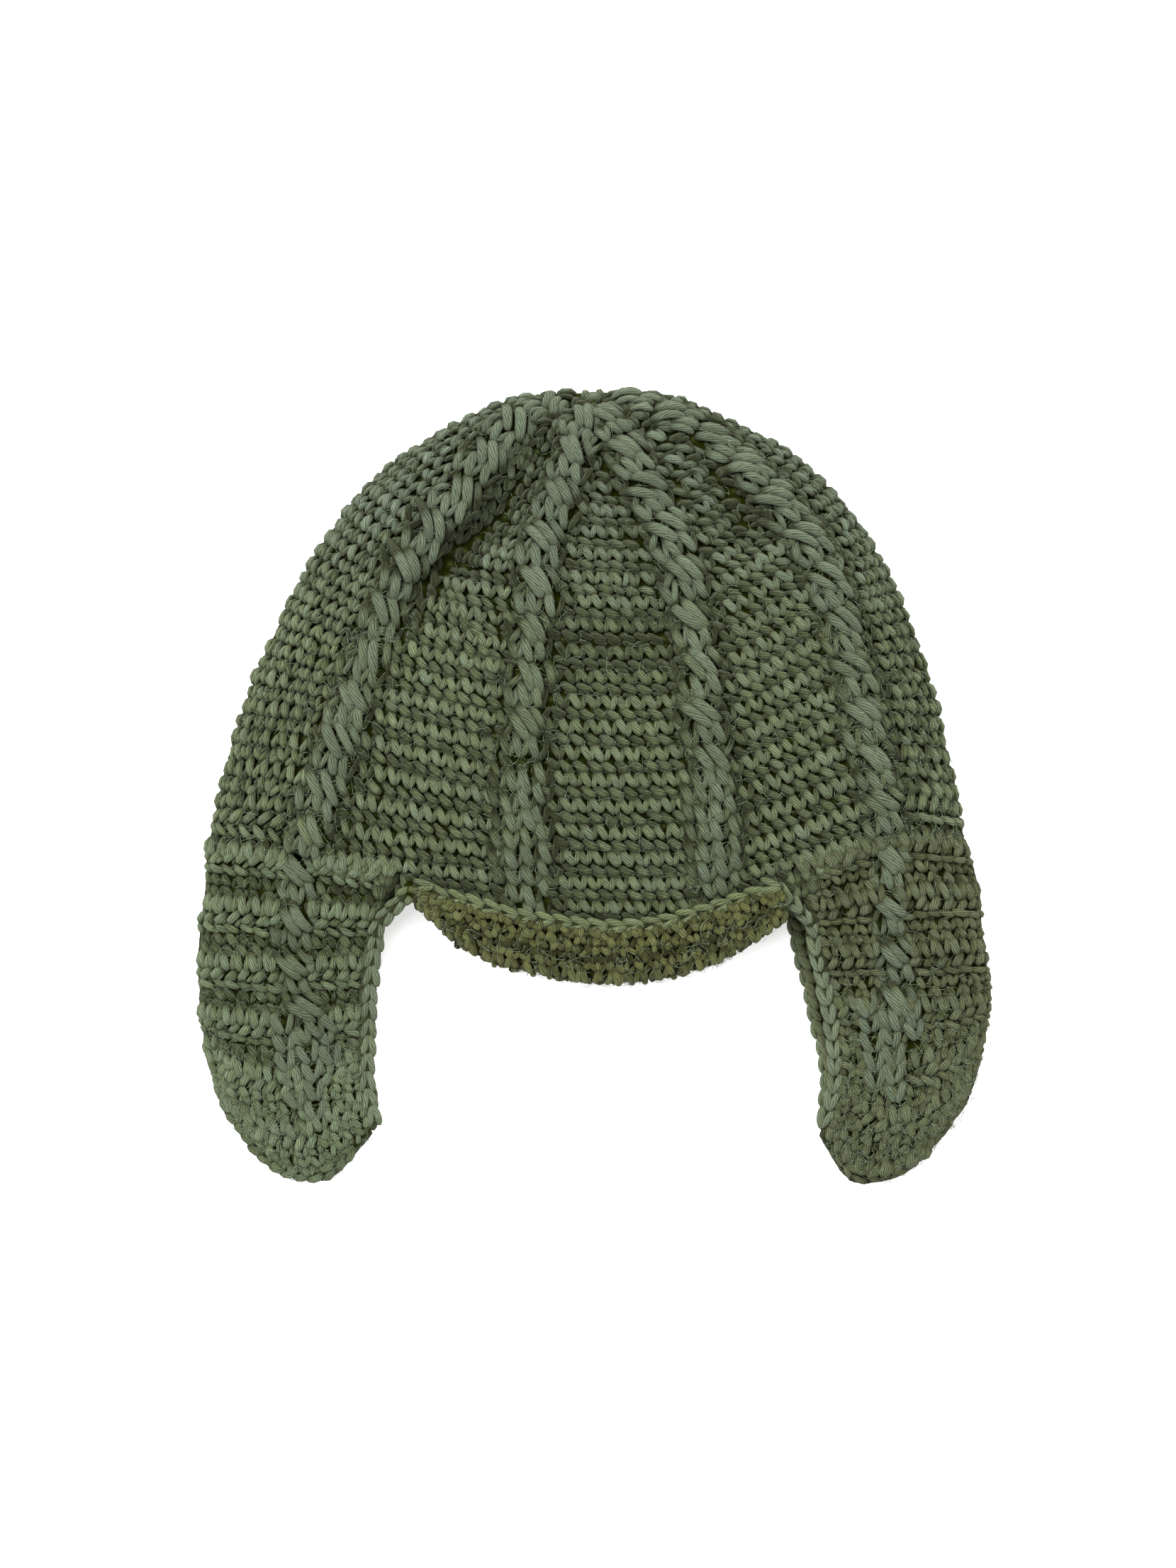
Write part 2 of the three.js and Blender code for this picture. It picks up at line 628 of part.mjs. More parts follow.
// Down the front edge of a flap, round its inner corner, and up the back edge.
function flapEdging(flap) {
  const middle = (front, b) => flapPoint(flap, front, 1, b).lerp(flapPoint(flap, front, 1, b, WALL), 0.5);
  const edge = (front, b) => {
    const along = middle(front, Math.min(1, b + 0.01)).sub(middle(front, b - 0.01)).setZ(0).normalize();
    const inwards = new THREE.Vector3(-along.y, along.x, 0).multiplyScalar(flap.inwards * FLAP_BESIDE);
    return middle(front, b).add(inwards);
  };
  const down = [0.15, 0.22, 0.3, 0.4, 0.5, 0.6, 0.7, 0.8, 0.87, 0.92, 0.95].map((b) => edge(true, b));
  const up = [0.95, 0.92, 0.87, 0.8, 0.7, 0.6, 0.5, 0.4, 0.3, 0.2, 0.1].map((b) => edge(false, b));
  lastSide = null;
  return cord([...down, ...up], 54);
}

function backEdging() {
  const points = [];
  for (let i = 0; i <= 16; i += 1) {
    const k = 6.58 + (1.84 * i) / 16;
    const rim = crownPoint(k, rimRing(k));
    points.push(new THREE.Vector3(rim.x, rim.y - BESIDE, WALL / 2));
  }
  lastSide = null;
  return cord(points, 26);
}

// The cap
const cap = new THREE.Group();

function add(name, geometry, color) {
  const material = new THREE.MeshStandardMaterial({ color, roughness: 0.95, metalness: 0 });
  const mesh = new THREE.Mesh(geometry, material);
  mesh.name = name;
  cap.add(mesh);
}

const leftFlap = { rows: LEFT_FLAP, frontPlaces: [0, 1.6], backPlaces: [10, 8.2], inwards: 1 };
const rightFlap = { rows: RIGHT_FLAP, frontPlaces: [5, 3.2], backPlaces: [5.0001, 6.8], inwards: -1 };

add("crown", crownGeometry(), OLIVE);
add("front_brim", brimGeometry(), SAGE);
add("earflap_left", flapGeometry(leftFlap), OLIVE);
add("earflap_right", flapGeometry(rightFlap), OLIVE);
add("edging_brim", brimEdging(), SAGE);
add("edging_left", flapEdging(leftFlap), SAGE);
add("edging_right", flapEdging(rightFlap), SAGE);
add("edging_back", backEdging(), SAGE);

export default cap;
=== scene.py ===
"""Cable knit earflap cap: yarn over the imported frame, on a pale floor in soft light.

The cap lies on its back. Its frame gives the hollow shape. Here every solid is dressed: a thinner backing
of the same shape carries joined strands of yarn, stitch by stitch, with cables, a chain round the free
edge and a little fuzz. Lengths in the tables are millimetres, and meshes are made in metres.
"""

import bmesh
import bpy
import numpy as np
from bpy.props import FloatProperty, FloatVectorProperty, IntProperty, PointerProperty
from mathutils import Matrix, Vector
from mathutils.kdtree import KDTree


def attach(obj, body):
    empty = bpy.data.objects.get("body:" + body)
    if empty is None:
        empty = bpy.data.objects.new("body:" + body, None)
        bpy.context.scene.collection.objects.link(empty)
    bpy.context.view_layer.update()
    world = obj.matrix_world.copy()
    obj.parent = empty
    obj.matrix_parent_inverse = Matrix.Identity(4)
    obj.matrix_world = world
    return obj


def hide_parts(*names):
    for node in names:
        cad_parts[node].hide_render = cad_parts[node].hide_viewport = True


bl_info = {
    "name": "Cable knit earflap cap",
    "version": (1, 0, 0),
    "blender": (4, 5, 0),
    "location": "View3D > Sidebar > Cap",
    "description": "Dresses the cap's frame in crocheted yarn and sets up its floor, light and camera",
    "category": "Object",
}

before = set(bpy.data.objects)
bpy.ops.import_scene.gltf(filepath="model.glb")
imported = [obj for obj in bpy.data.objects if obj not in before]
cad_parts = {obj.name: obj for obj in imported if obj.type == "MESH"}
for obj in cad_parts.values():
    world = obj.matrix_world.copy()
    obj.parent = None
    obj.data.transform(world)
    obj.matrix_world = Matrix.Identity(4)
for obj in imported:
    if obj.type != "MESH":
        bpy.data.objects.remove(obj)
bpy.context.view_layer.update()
MM = 0.001

# The crown's front, a row for each ring: t, the loft over the folds, then the left fold, the four front
# cables and the right fold as x, y.
RINGS = [
    (0, 0, (-0.5, 132), (-0.5, 132), (-0.5, 132), (-0.5, 132), (-0.5, 132), (-0.5, 132)),
    (0.1, 13, (-26, 130), (-20.5, 125), (-5.5, 118), (6.5, 118.5), (17.5, 127.5), (23, 131)),
    (0.2, 20, (-46, 121.5), (-33, 113), (-10, 101.5), (15.5, 101), (35, 118.5), (40.5, 124.5)),
    (0.35, 26, (-72.5, 104), (-49, 89.5), (-16.5, 79), (27, 78), (56.5, 99.5), (68, 110)),
    (0.5, 29, (-92, 79.5), (-64, 63), (-19.5, 54), (32, 54), (73.5, 76), (90, 85.5)),
    (0.65, 29, (-107, 51), (-75.5, 40), (-21.5, 29), (35, 29), (82, 51), (104.5, 57)),
    (0.8, 26, (-119, 21), (-83, 15.5), (-24, 2.5), (38.5, 3), (88.5, 23.5), (115, 25)),
    (1, 17, (-129, -19.5), (-96, -23.5), (-23, -32.5), (40.5, -32.5), (97, -17.5), (124, -18.5)),
    (1.25, 11, (-131, -47), (-103, -56), (-23, -69), (41.5, -69), (98, -54), (128.5, -49)),
]
RING_AT = np.array([row[0] for row in RINGS], float)
RING_LOFT = np.array([row[1] for row in RINGS], float)
RING_POINTS = np.array([row[2:] for row in RINGS], float)
BACK_SHARES = np.array([0, 0.12, 0.37, 0.63, 0.88, 1])
WALL = 5
CUFF_GAP = 0.45
FOLD_Z = 12
FLAP_FOLD_Z = 7
BACK_DEPTH = 15
BACK_DEPTH_AT = 0.12
ROUNDNESS = 2.5
CABLE_RISE = 2.8
CABLE_HALF_WIDTH = 8.5
FLAP_EDGE_ROUND = 16
RIDGE_PITCH = 18.1
RIDGE_AHEAD = 1.7
RIDGE_RISE = 1.1
RIDGED_LENGTH = 60

# The rim's ring at each k, and the turned-up brim's fold and free edge.
RIM_K = [0, 1.46, 1.52, 1.75, 2, 2.5, 3, 3.2, 3.36, 3.41, 5, 6.53, 7, 8, 8.47, 10]
RIM_T = [1, 1, 1, 1.085, 1.115, 1.13, 1.09, 1.065, 1.03, 1, 1, 1, 1.035, 1.035, 1, 1]
BRIM_K = [1.52, 1.62, 1.75, 2, 2.5, 3, 3.2, 3.36]
BRIM_FOLD = [1.052, 1.1, 1.157, 1.194, 1.21, 1.172, 1.138, 1.11]
BRIM_EDGE = [1.02, 1.035, 1.045, 1.067, 1.079, 1.045, 1.03, 1.03]

# Creases and bulges of the front: from, to, rise and width.
FOLDS = [
    ((-28, 96), (-44, 77), -5, 8),
    ((-46, 75), (-58, 60), -4.5, 8),
    ((-46, 92), (-68, 66), 3.5, 9),
    ((-49, 65), (-33, 42), 2.5, 8),
    ((-12, 44), (26, 45), -3, 13),
    ((40, 110), (50, 84), -3.5, 6),
    ((8, 96), (15, 69), -2, 6),
]

# Sharper creases that only the yarn shows, laid over those.
CREASES = [
    ((-16, 109), (-31, 87), -3.4, 4.5),
    ((-31, 87), (-50, 73), -3.9, 4.5),
    ((-50, 73), (-64, 56), -3.2, 4.5),
    ((-47, 64), (-30, 40), 1.6, 5),
    ((-40, 60), (-26, 40), -1.2, 4),
    ((-14, 47), (24, 48), -1.2, 5),
    ((37, 112), (47, 86), -2.2, 4),
    ((-24, 118), (-16, 108), -2.0, 4),
]

# The flaps, a row for each line of stitches: b, loft, how far the back's edge lies from the front's, then
# the outer fold, two points across, and the inner edge.
LEFT_FLAP = [
    (0, 17, -1, (-129, -19.5), (-107.5, -22), (-86.5, -24), (-65, -27.5)),
    (0.13, 13, -1, (-129.5, -33), (-110, -35), (-90, -36), (-70.5, -37.5)),
    (0.27, 10, -1, (-131.5, -48.5), (-112.5, -50), (-93.5, -50.5), (-74.5, -50.5)),
    (0.42, 8.5, -1, (-132, -65.5), (-113.5, -67), (-94.5, -67), (-76.5, -66)),
    (0.56, 8, -1, (-131, -78.5), (-114.5, -82), (-96, -82.5), (-77, -79.5)),
    (0.7, 7.5, -1, (-129, -89), (-114.5, -97.5), (-96, -99), (-77.5, -91.5)),
    (0.85, 7, -0.5, (-126.5, -99), (-112, -112.5), (-94, -115.5), (-77, -103)),
    (1, 7, 0, (-123.5, -107.5), (-107.5, -127), (-88.5, -130.7), (-72.8, -115.5)),
]
RIGHT_FLAP = [
    (0, 17, -3, (124, -18.5), (106, -17.5), (87.5, -19.5), (66.5, -26)),
    (0.13, 13, -4, (128, -32.5), (109, -33), (90, -34.5), (71.5, -38)),
    (0.27, 10, -4.5, (129.5, -48.5), (112.5, -49.5), (93.5, -50.5), (75, -51)),
    (0.42, 8.5, -4.5, (132, -64.5), (114.5, -66), (97, -66.5), (78.5, -66)),
    (0.56, 8, -4, (131.5, -77.5), (115.5, -81), (98, -82), (81, -79)),
    (0.7, 7.5, -2.5, (129.5, -88.5), (114.5, -96.5), (98, -99), (82, -92)),
    (0.85, 7, -1, (127, -98.5), (111.5, -112.5), (95.5, -116), (80.5, -105)),
    (1, 7, 0, (123.5, -107), (105.5, -127.5), (86, -131.4), (75.3, -118)),
]

# Yarn and stitches
YARN_RADIUS = 1.0
STITCH_WIDTH = 4.7
ROWS_TO_RIM = 41
CROWN_ROWS = 47
BACK_ROWS = 43
CABLE_PITCH = 15.5
EDGING_PITCH = 5.9
PLIES_PER_MM = 7.5
STRAND_FULLNESS = 0.42
OUTLINE_INSET = 1.3

# Painted light is 0, full painted shade, this far under the stitches' surface, and 1 a span above that.
PAINTED_LIGHT_FROM = -1.7
PAINTED_LIGHT_SPAN = 2.9
# What would lie under the floor is pressed to this share of its depth.
PRESSED = 0.04

# Shares of red, green and blue by which each piece's wool is lighter or darker: the cables' and the right
# flap's darker wool is painted shade, and the fuzz's lighter wool is painted sheen.
TINTS_AND_PAINTED_LIGHT = {
    "wool_crown": (1, 1, 1),
    "wool_cable": (0.79, 0.78, 0.74),
    "wool_brim": (0.85, 0.76, 0.57),
    "wool_edging": (0.92, 0.9, 0.83),
    "wool_fuzz": (1.3, 1.35, 1.3),
    "wool_flap_left": (0.97, 0.99, 0.92),
    "wool_flap_right": (0.76, 0.7, 0.61),
}

# Stitches as strands: three points (shares of the stitch's width and height, and mm above the surface), a
# share of the yarn's radius, and how much broader than thick the strand lies.
STITCHES = {
    "slant": [
        ((-0.5, 0.66, -1.9), (-0.1, 0.14, 0.35), (0.22, -0.56, -0.8), 1.12, 1.35),
        ((0.54, 0.56, -1.7), (0.45, 0.04, 0.1), (0.3, -0.56, -0.9), 0.95, 1.2),
    ],
    "lying": [
        ((-0.58, 0.44, -1.9), (-0.06, 0.12, 0.0), (0.5, -0.28, -1.2), 1.1, 1.3),
        ((-0.44, -0.16, -1.8), (0.06, -0.36, -0.5), (0.5, -0.6, -1.6), 0.9, 1.15),
    ],
    "star": [
        ((-0.48, 0.64, -1.9), (-0.32, 0.1, 0.35), (-0.07, -0.5, -0.9), 1.12, 1.35),
        ((0.47, 0.58, -1.9), (0.28, 0.06, 0.1), (0.09, -0.5, -1.0), 1.02, 1.2),
    ],
    "tall": [
        ((-0.42, 0.68, -1.9), (-0.25, 0.08, 0.45), (-0.07, -0.52, -0.6), 1.14, 1.35),
        ((0.38, 0.68, -1.9), (0.3, 0.08, 0.15), (0.15, -0.52, -0.7), 1.02, 1.25),
    ],
    "short": [
        ((0.4, 0.62, -1.9), (0.0, 0.08, 0.4), (-0.34, -0.48, -0.7), 1.14, 1.4),
        ((0.54, 0.1, -1.7), (0.34, -0.24, -0.3), (0.12, -0.56, -1.1), 0.85, 1.0),
    ],
    "braid": [
        ((-0.62, 0.36, -1.4), (-0.05, 0.04, 0.35), (0.56, -0.38, -0.9), 1.08, 1.15),
        ((-0.46, -0.5, -1.6), (-0.06, -0.2, -0.5), (0.4, 0.36, -1.5), 0.85, 1.0),
    ],
    "sunk": [
        ((-0.46, 0.64, -2.4), (-0.1, 0.06, -0.75), (0.22, -0.54, -1.7), 1.12, 1.4),
        ((0.48, 0.46, -2.4), (0.43, -0.04, -1.1), (0.32, -0.52, -1.8), 0.85, 1.0),
    ],
    "fan": [
        ((-0.56, 0.4, -1.9), (-0.3, 0.0, 0.15), (-0.02, -0.4, -1.4), 1.05, 1.15),
        ((0.02, 0.66, -1.8), (0.05, 0.14, 0.35), (0.04, -0.4, -1.3), 0.98, 1.1),
        ((0.58, 0.3, -2.0), (0.34, -0.06, -0.1), (0.1, -0.44, -1.5), 0.98, 1.1),
    ],
    "plain": [
        ((-0.45, 0.5, -1.6), (-0.1, 0.15, -0.6), (0.3, -0.2, -1.5), 1.0, 1.2),
        ((-0.2, 0.05, -1.6), (0.1, -0.25, -0.65), (0.5, -0.55, -1.5), 1.0, 1.1),
    ],
}

# One crossing of a cable, in millimetres from its middle: long bundles that lean over others, whose ends
# show beside them. Then the legged stitches that follow it.
CABLE_CROSSED = [
    ((-7.4, 8.4, -2.4), (-3.0, 4.0, 1.5), (1.8, -2.2, 0.1), 1.26, 1.5),
    ((-2.8, 9.2, -2.2), (1.3, 4.6, 2.0), (5.8, -1.4, 0.0), 1.26, 1.5),
    ((2.2, 9.4, -2.2), (5.4, 5.4, 0.9), (8.0, 0.8, -0.9), 1.12, 1.3),
    ((-3.4, 3.0, -1.6), (-6.0, 0.0, 0.4), (-7.6, -3.4, -0.6), 1.08, 1.2),
    ((8.2, 8.6, -1.9), (6.6, 5.6, 0.2), (4.6, 3.0, -1.0), 0.95, 1.1),
    ((-8.8, 6.6, -2.0), (-7.8, 3.2, 0.0), (-6.8, -0.2, -0.9), 0.98, 1.2),
]
CABLE_LEGGED = [
    ((-2.6, 1.8, -2.2), (-1.6, -3.0, 1.2), (0.3, -7.6, -0.1), 1.18, 1.45),
    ((2.8, 0.8, -2.0), (2.0, -3.4, 0.5), (0.8, -7.2, -0.5), 0.95, 1.15),
]
CABLE_COLUMNS = (-5.3, 0.1, 5.4)


def step(start, end, at):
    """0 before start and 1 after end, with a smooth way between them."""
    f = np.clip((np.asarray(at, float) - start) / (end - start), 0, 1)
    return f * f * (3 - 2 * f)


def unit(vectors):
    return vectors / np.maximum(np.linalg.norm(vectors, axis=-1, keepdims=True), 1e-9)


def hermite(f, start, end, leave, arrive):
    """A cubic curve from start to end that leaves and arrives at the slopes given."""
    f2 = f * f
    f3 = f2 * f
    first = (2 * f3 - 3 * f2 + 1) * start + (f3 - 2 * f2 + f) * leave
    return first + (3 * f2 - 2 * f3) * end + (f3 - f2) * arrive


def curve(places, values, at):
    """A smooth curve through a value at each place."""
    places = np.asarray(places, float)
    values = np.asarray(values, float)
    at = np.asarray(at, float)
    last = len(places) - 1
    i = np.clip(np.searchsorted(places, at, side="left"), 1, last)
    picks = [np.clip(i + shift, 0, last) for shift in (-2, -1, 0, 1)]
    shape = at.shape + (1,) * (values.ndim - 1)
    before_at, start_at, end_at, after_at = [places[pick].reshape(shape) for pick in picks]
    before, start, end, after = [values[pick] for pick in picks]
    span = end_at - start_at
    leave = span * (end - before) / (end_at - before_at)
    arrive = span * (after - start) / (after_at - start_at)
    return hermite((at.reshape(shape) - start_at) / span, start, end, leave, arrive)


def through(points, at):
    """The same along lists of points that are one unit apart, a list for each place."""
    last = points.shape[1] - 1
    i = np.clip(np.ceil(at).astype(int), 1, last)
    rows = np.arange(len(at))
    picks = [np.clip(i + shift, 0, last) for shift in (-2, -1, 0, 1)]
    before, start, end, after = [points[rows, pick] for pick in picks]
    leave = (end - before) / (picks[2] - picks[0])[:, None]
    arrive = (after - start) / (picks[3] - picks[1])[:, None]
    return hermite((at - picks[1])[:, None], start, end, leave, arrive)


def dense_line(path, count):
    """So many points of a smooth line through a path's."""
    path = np.asarray(path, float)
    return curve(np.arange(len(path)), path, np.linspace(0, len(path) - 1, count))


def run_along(points):
    """How far along a line each of its points lies."""
    return np.concatenate([[0], np.cumsum(np.linalg.norm(np.diff(points, axis=0), axis=-1))])


def read_off(values, run, at):
    """Values given along a run, read at other places on it."""
    return np.stack([np.interp(at, run, column) for column in values.T], axis=-1)


def beside(along, inwards):
    """Level directions square to a line's: to its left, or to its right where inwards is -1."""
    level = unit(along * (1, 1, 0))
    return np.stack([-level[:, 1], level[:, 0], np.zeros(len(level))], axis=-1) * inwards


def places_over(u_ends, u_count, v_ends, v_count):
    """The u and the v of every place of a grid over a surface."""
    grid = np.meshgrid(np.linspace(*u_ends, u_count), np.linspace(*v_ends, v_count))
    return [g.ravel() for g in grid]


# The crown
def ring_points(t, front):
    points = curve(RING_AT, RING_POINTS, t)
    if front:
        return points
    left, right = points[:, 0], points[:, 5]
    drop = (left[:, 1] + right[:, 1] - points[:, 2, 1] - points[:, 3, 1]) / 2
    share = BACK_SHARES[None, :, None]
    line = right[:, None] * (1 - share) + left[:, None] * share
    line[..., 1] -= drop[:, None] * (4 * BACK_SHARES * (1 - BACK_SHARES))[None] ** 0.8
    return line


def fold_relief(x, y):
    """How far the folds and creases raise the front."""
    rise = np.zeros_like(x)
    for start, end, height, width in FOLDS + CREASES:
        along = np.subtract(end, start)
        f = np.clip(((x - start[0]) * along[0] + (y - start[1]) * along[1]) / (along @ along), 0, 1)
        away = np.hypot(x - start[0] - along[0] * f, y - start[1] - along[1] * f)
        rise += height * np.exp(-((away / width) ** 2))
    return rise


def cable_relief(points, k, t, x, y):
    cable = np.clip(np.round(k).astype(int), 0, 5)
    middle = points[np.arange(len(k)), cable]
    away = np.hypot(x - middle[:, 0], y - middle[:, 1]) / CABLE_HALF_WIDTH
    rise = CABLE_RISE * (1 - step(0.95, 1, t)) * step(0, 0.12, t) * np.maximum(0, 1 - away**2) ** 1.2
    return np.where((cable >= 1) & (cable <= 4), rise, 0)


def crown_half(k, t, front):
    points = ring_points(t, front)
    x, y = through(points, k if front else k - 5).T
    first, last = points[:, 0, 0], points[:, 5, 0]
    half_width = np.abs(last - first) / 2
    across = np.clip(np.abs(x - (first + last) / 2) / np.maximum(half_width, 1e-6), 0, 1)
    if front:
        profile = (1 - across**ROUNDNESS) ** (1 / ROUNDNESS)
        relief = fold_relief(x, y) + cable_relief(points, k, t, x, y)
        z = FOLD_Z + (curve(RING_AT, RING_LOFT, t) + relief) * profile
    else:
        depth = BACK_DEPTH * np.sqrt(np.clip(t / BACK_DEPTH_AT, 0, 1))
        z = np.maximum(0, FOLD_Z - depth * (1 - across**6) ** 0.25)
    return np.stack([x, y, z], axis=-1)


def crown_front(k, t):
    return crown_half(np.clip(k, 0, 5), t, True)


def crown_back(k, t):
    return crown_half(np.clip(k, 5, 10), t, False)


def units_per_ring(k):
    """Millimetres for each unit of t, near the rim."""
    here = crown_front(k, np.full_like(k, 1.1))
    return np.linalg.norm(crown_front(k, np.full_like(k, 1.12)) - here, axis=-1) / 0.02


def over_crown(k, t, off):
    """Points over the crown's front, so many millimetres off it."""
    across = crown_front(k + 0.03, t) - crown_front(k - 0.03, t)
    along = crown_front(k, t - 0.01) - crown_front(k, t + 0.01)
    return crown_front(k, t) + unit(np.cross(across, along)) * np.asarray(off)[..., None]


BRIM_ROWS = 5
NOSE_ROWS = 3
INNER_ROWS = 3


def brim_point(k, row):
    """The turned-up brim: row 0 is at its free edge, then down the outside, round the fold and up inside."""
    units = units_per_ring(k)
    nose = WALL + CUFF_GAP / 2
    turn = curve(BRIM_K, BRIM_FOLD, k) - nose / units
    edge = curve(BRIM_K, BRIM_EDGE, k)
    rim = np.interp(k, RIM_K, RIM_T)
    angle = np.pi * (0.5 - np.clip((row - BRIM_ROWS) / NOSE_ROWS, 0, 1))
    down = edge + (turn - edge) * np.clip(row / BRIM_ROWS, -0.1, 1)
    up = turn + (rim - turn) * np.clip((row - BRIM_ROWS - NOSE_ROWS) / INNER_ROWS, 0, 1)
    round_fold = turn + nose * np.cos(angle) / units
    t = np.where(row < BRIM_ROWS, down, np.where(row < BRIM_ROWS + NOSE_ROWS, round_fold, up))
    return over_crown(k, t, CUFF_GAP / 2 + nose * np.sin(angle))


# The flaps
class Flap:
    """One earflap's tables, and where its top meets the crown."""

    def __init__(self, rows, front_places, back_places):
        self.at = np.array([row[0] for row in rows], float)
        self.loft = np.array([row[1] for row in rows], float)
        self.under = np.array([row[2] for row in rows], float)
        self.points = np.array([row[3:] for row in rows], float)
        self.places = {True: front_places, False: back_places}
        self.top_y = self.points[0, 2, 1]
        self.tip_y = self.points[-1, 2, 1]

    def down(self, b):
        return self.top_y - curve(self.at, self.points, b)[:, 2, 1]

    def rim(self, front, a):
        """The crown's rim above each place across the flap's top."""
        first, last = self.places[front]
        k = np.linspace(first, last, 240)
        half = crown_front if front else crown_back
        x = half(k, np.ones_like(k))[:, 0]
        order = np.argsort(x)
        top_x = through(np.repeat(self.points[:1], len(a), axis=0), a * 3)[:, 0]
        top_x = top_x + (0 if front else self.under[0] * a)
        return half(np.interp(top_x, x[order], k[order]), np.ones_like(a))

    def height(self, front, b, loft, profile):
        """Height over the floor, where profile is 0 at the folds and 1 at the full loft."""
        fold_z = FOLD_Z + (FLAP_FOLD_Z - FOLD_Z) * step(0, 0.5, b)
        if front:
            return fold_z + loft * profile
        return np.maximum(0, fold_z - BACK_DEPTH * profile)

    def point(self, front, a, b):
        a = np.clip(a, 0, 1)
        points = curve(self.at, self.points, b)
        width = np.linalg.norm(points[:, 3] - points[:, 0], axis=-1)
        length = points[:, 2, 1] - self.tip_y
        x, y = through(points, a * 3).T
        x = x + (0 if front else curve(self.at, self.under, b) * a)
        from_fold = np.maximum(0, 1 - a * width / FLAP_EDGE_ROUND)
        from_tip = np.maximum(0, 1 - length / FLAP_EDGE_ROUND)
        corner = np.minimum(1, np.hypot(from_fold, from_tip))
        loft = curve(self.at, self.loft, b) + ridge(self.top_y - self.tip_y - length)
        z = self.height(front, b, loft, (1 - corner**ROUNDNESS) ** (1 / ROUNDNESS))
        own = np.stack([x, y, z], axis=-1)
        top = self.points[0]
        top_width = np.linalg.norm(top[3] - top[0])
        top_xy = through(np.repeat(top[None], len(a), axis=0), a * 3)
        profile = (1 - np.clip(1 - a * top_width / FLAP_EDGE_ROUND, 0, 1) ** ROUNDNESS) ** (1 / ROUNDNESS)
        top_z = self.height(front, np.zeros_like(a), np.full_like(a, self.loft[0]), profile)
        top_x = top_xy[:, 0] + (0 if front else self.under[0] * a)
        at_top = np.stack([top_x, top_xy[:, 1], top_z], axis=-1)
        return own + (self.rim(front, a) - at_top) * (1 - step(0, 0.3, b))[:, None]

    def front(self, a, b):
        return self.point(True, a, b)

    def back(self, a, b):
        return self.point(False, a, b)


def ridge(down):
    """How far a flap's raised bands lift its front, so many millimetres down it."""
    fade = step(0, RIDGE_PITCH, down) * (1 - step(RIDGED_LENGTH, RIDGED_LENGTH + 6, down))
    return fade * RIDGE_RISE * np.cos(2 * np.pi * (down + RIDGE_AHEAD) / RIDGE_PITCH)


# Surfaces that stitches lie on
class Frames:
    """Places on a surface, with the directions across, up towards the crown's pole, and out."""

    def __init__(self, at, up, out, pitch):
        self.at = at
        self.out = unit(out)
        self.across = unit(np.cross(up, self.out))
        self.up = np.cross(self.out, self.across)
        self.pitch = pitch

    def pick(self, chosen):
        return Frames(self.at[chosen], self.up[chosen], self.out[chosen], self.pitch[chosen])

    def turned(self, angles):
        """The same places, each turned about its way out."""
        turn = np.asarray(angles)[:, None]
        return Frames(self.at, self.up * np.cos(turn) + self.across * np.sin(turn), self.out, self.pitch)


class Surface:
    """point(u, v) in millimetres, where v runs down from the pole. turned is -1 where u, up looks inwards."""

    def __init__(self, point, turned=1, reach=(0.03, 0.01)):
        self.point = point
        self.turned = turned
        self.reach = reach

    def frames(self, u, v):
        du, dv = self.reach
        across = self.point(u + du, v) - self.point(u - du, v)
        up = self.point(u, v - dv) - self.point(u, v + dv)
        pitch = np.linalg.norm(up, axis=-1) / (2 * dv)
        out = unit(np.cross(across, up) * self.turned)
        return Frames(self.point(u, v) - out * (1, 1, 0) * OUTLINE_INSET, up, out, pitch)

    def row(self, start, end, v, width, margins=(0, 0)):
        """Places of whole stitches along a row, as u, and the width that each gets."""
        u = np.linspace(start, end, 160)
        points = self.point(u, np.full_like(u, v))
        run = run_along(points)
        first, last = margins[0], run[-1] - margins[1]
        if last - first < width * 0.4:
            return np.zeros(0), 0
        count = max(1, round((last - first) / width))
        gap = (last - first) / count
        return np.interp(first + gap * (np.arange(count) + 0.5), run, u), gap


LEFT = Flap(LEFT_FLAP, (0, 1.6), (10, 8.2))
RIGHT = Flap(RIGHT_FLAP, (5, 3.2), (5.0001, 6.8))
CROWN_FRONT = Surface(crown_front)
CROWN_BACK = Surface(crown_back)
CABLE_WAY = Surface(crown_front, reach=(0.12, 0.035))
BRIM = Surface(brim_point, reach=(0.02, 0.15))
FLAP_REACH = (0.015, 0.012)
FLAP_SURFACES = {
    ("left", True): Surface(LEFT.front, 1, FLAP_REACH),
    ("left", False): Surface(LEFT.back, -1, FLAP_REACH),
    ("right", True): Surface(RIGHT.front, -1, FLAP_REACH),
    ("right", False): Surface(RIGHT.back, 1, FLAP_REACH),
}


# Strands of yarn
class Strand:
    """A round closed strand made by an operator, to be bent along each stitch."""

    def __init__(self, around, along):
        shape = bmesh.new()
        uv_layer = shape.loops.layers.uv.new("strand")
        bmesh.ops.create_uvsphere(shape, u_segments=around, v_segments=along, radius=1, calc_uvs=True)
        shape.verts.ensure_lookup_table()
        co = np.array([v.co for v in shape.verts])
        self.share = (1 + co[:, 2]) / 2
        self.angle = np.arctan2(co[:, 1], co[:, 0])
        self.girth = np.hypot(co[:, 0], co[:, 1]) ** STRAND_FULLNESS
        self.corners = np.array([loop.vert.index for face in shape.faces for loop in face.loops])
        self.sizes = np.array([len(face.loops) for face in shape.faces])
        self.uv = np.array([loop[uv_layer].uv for face in shape.faces for loop in face.loops])
        shape.free()


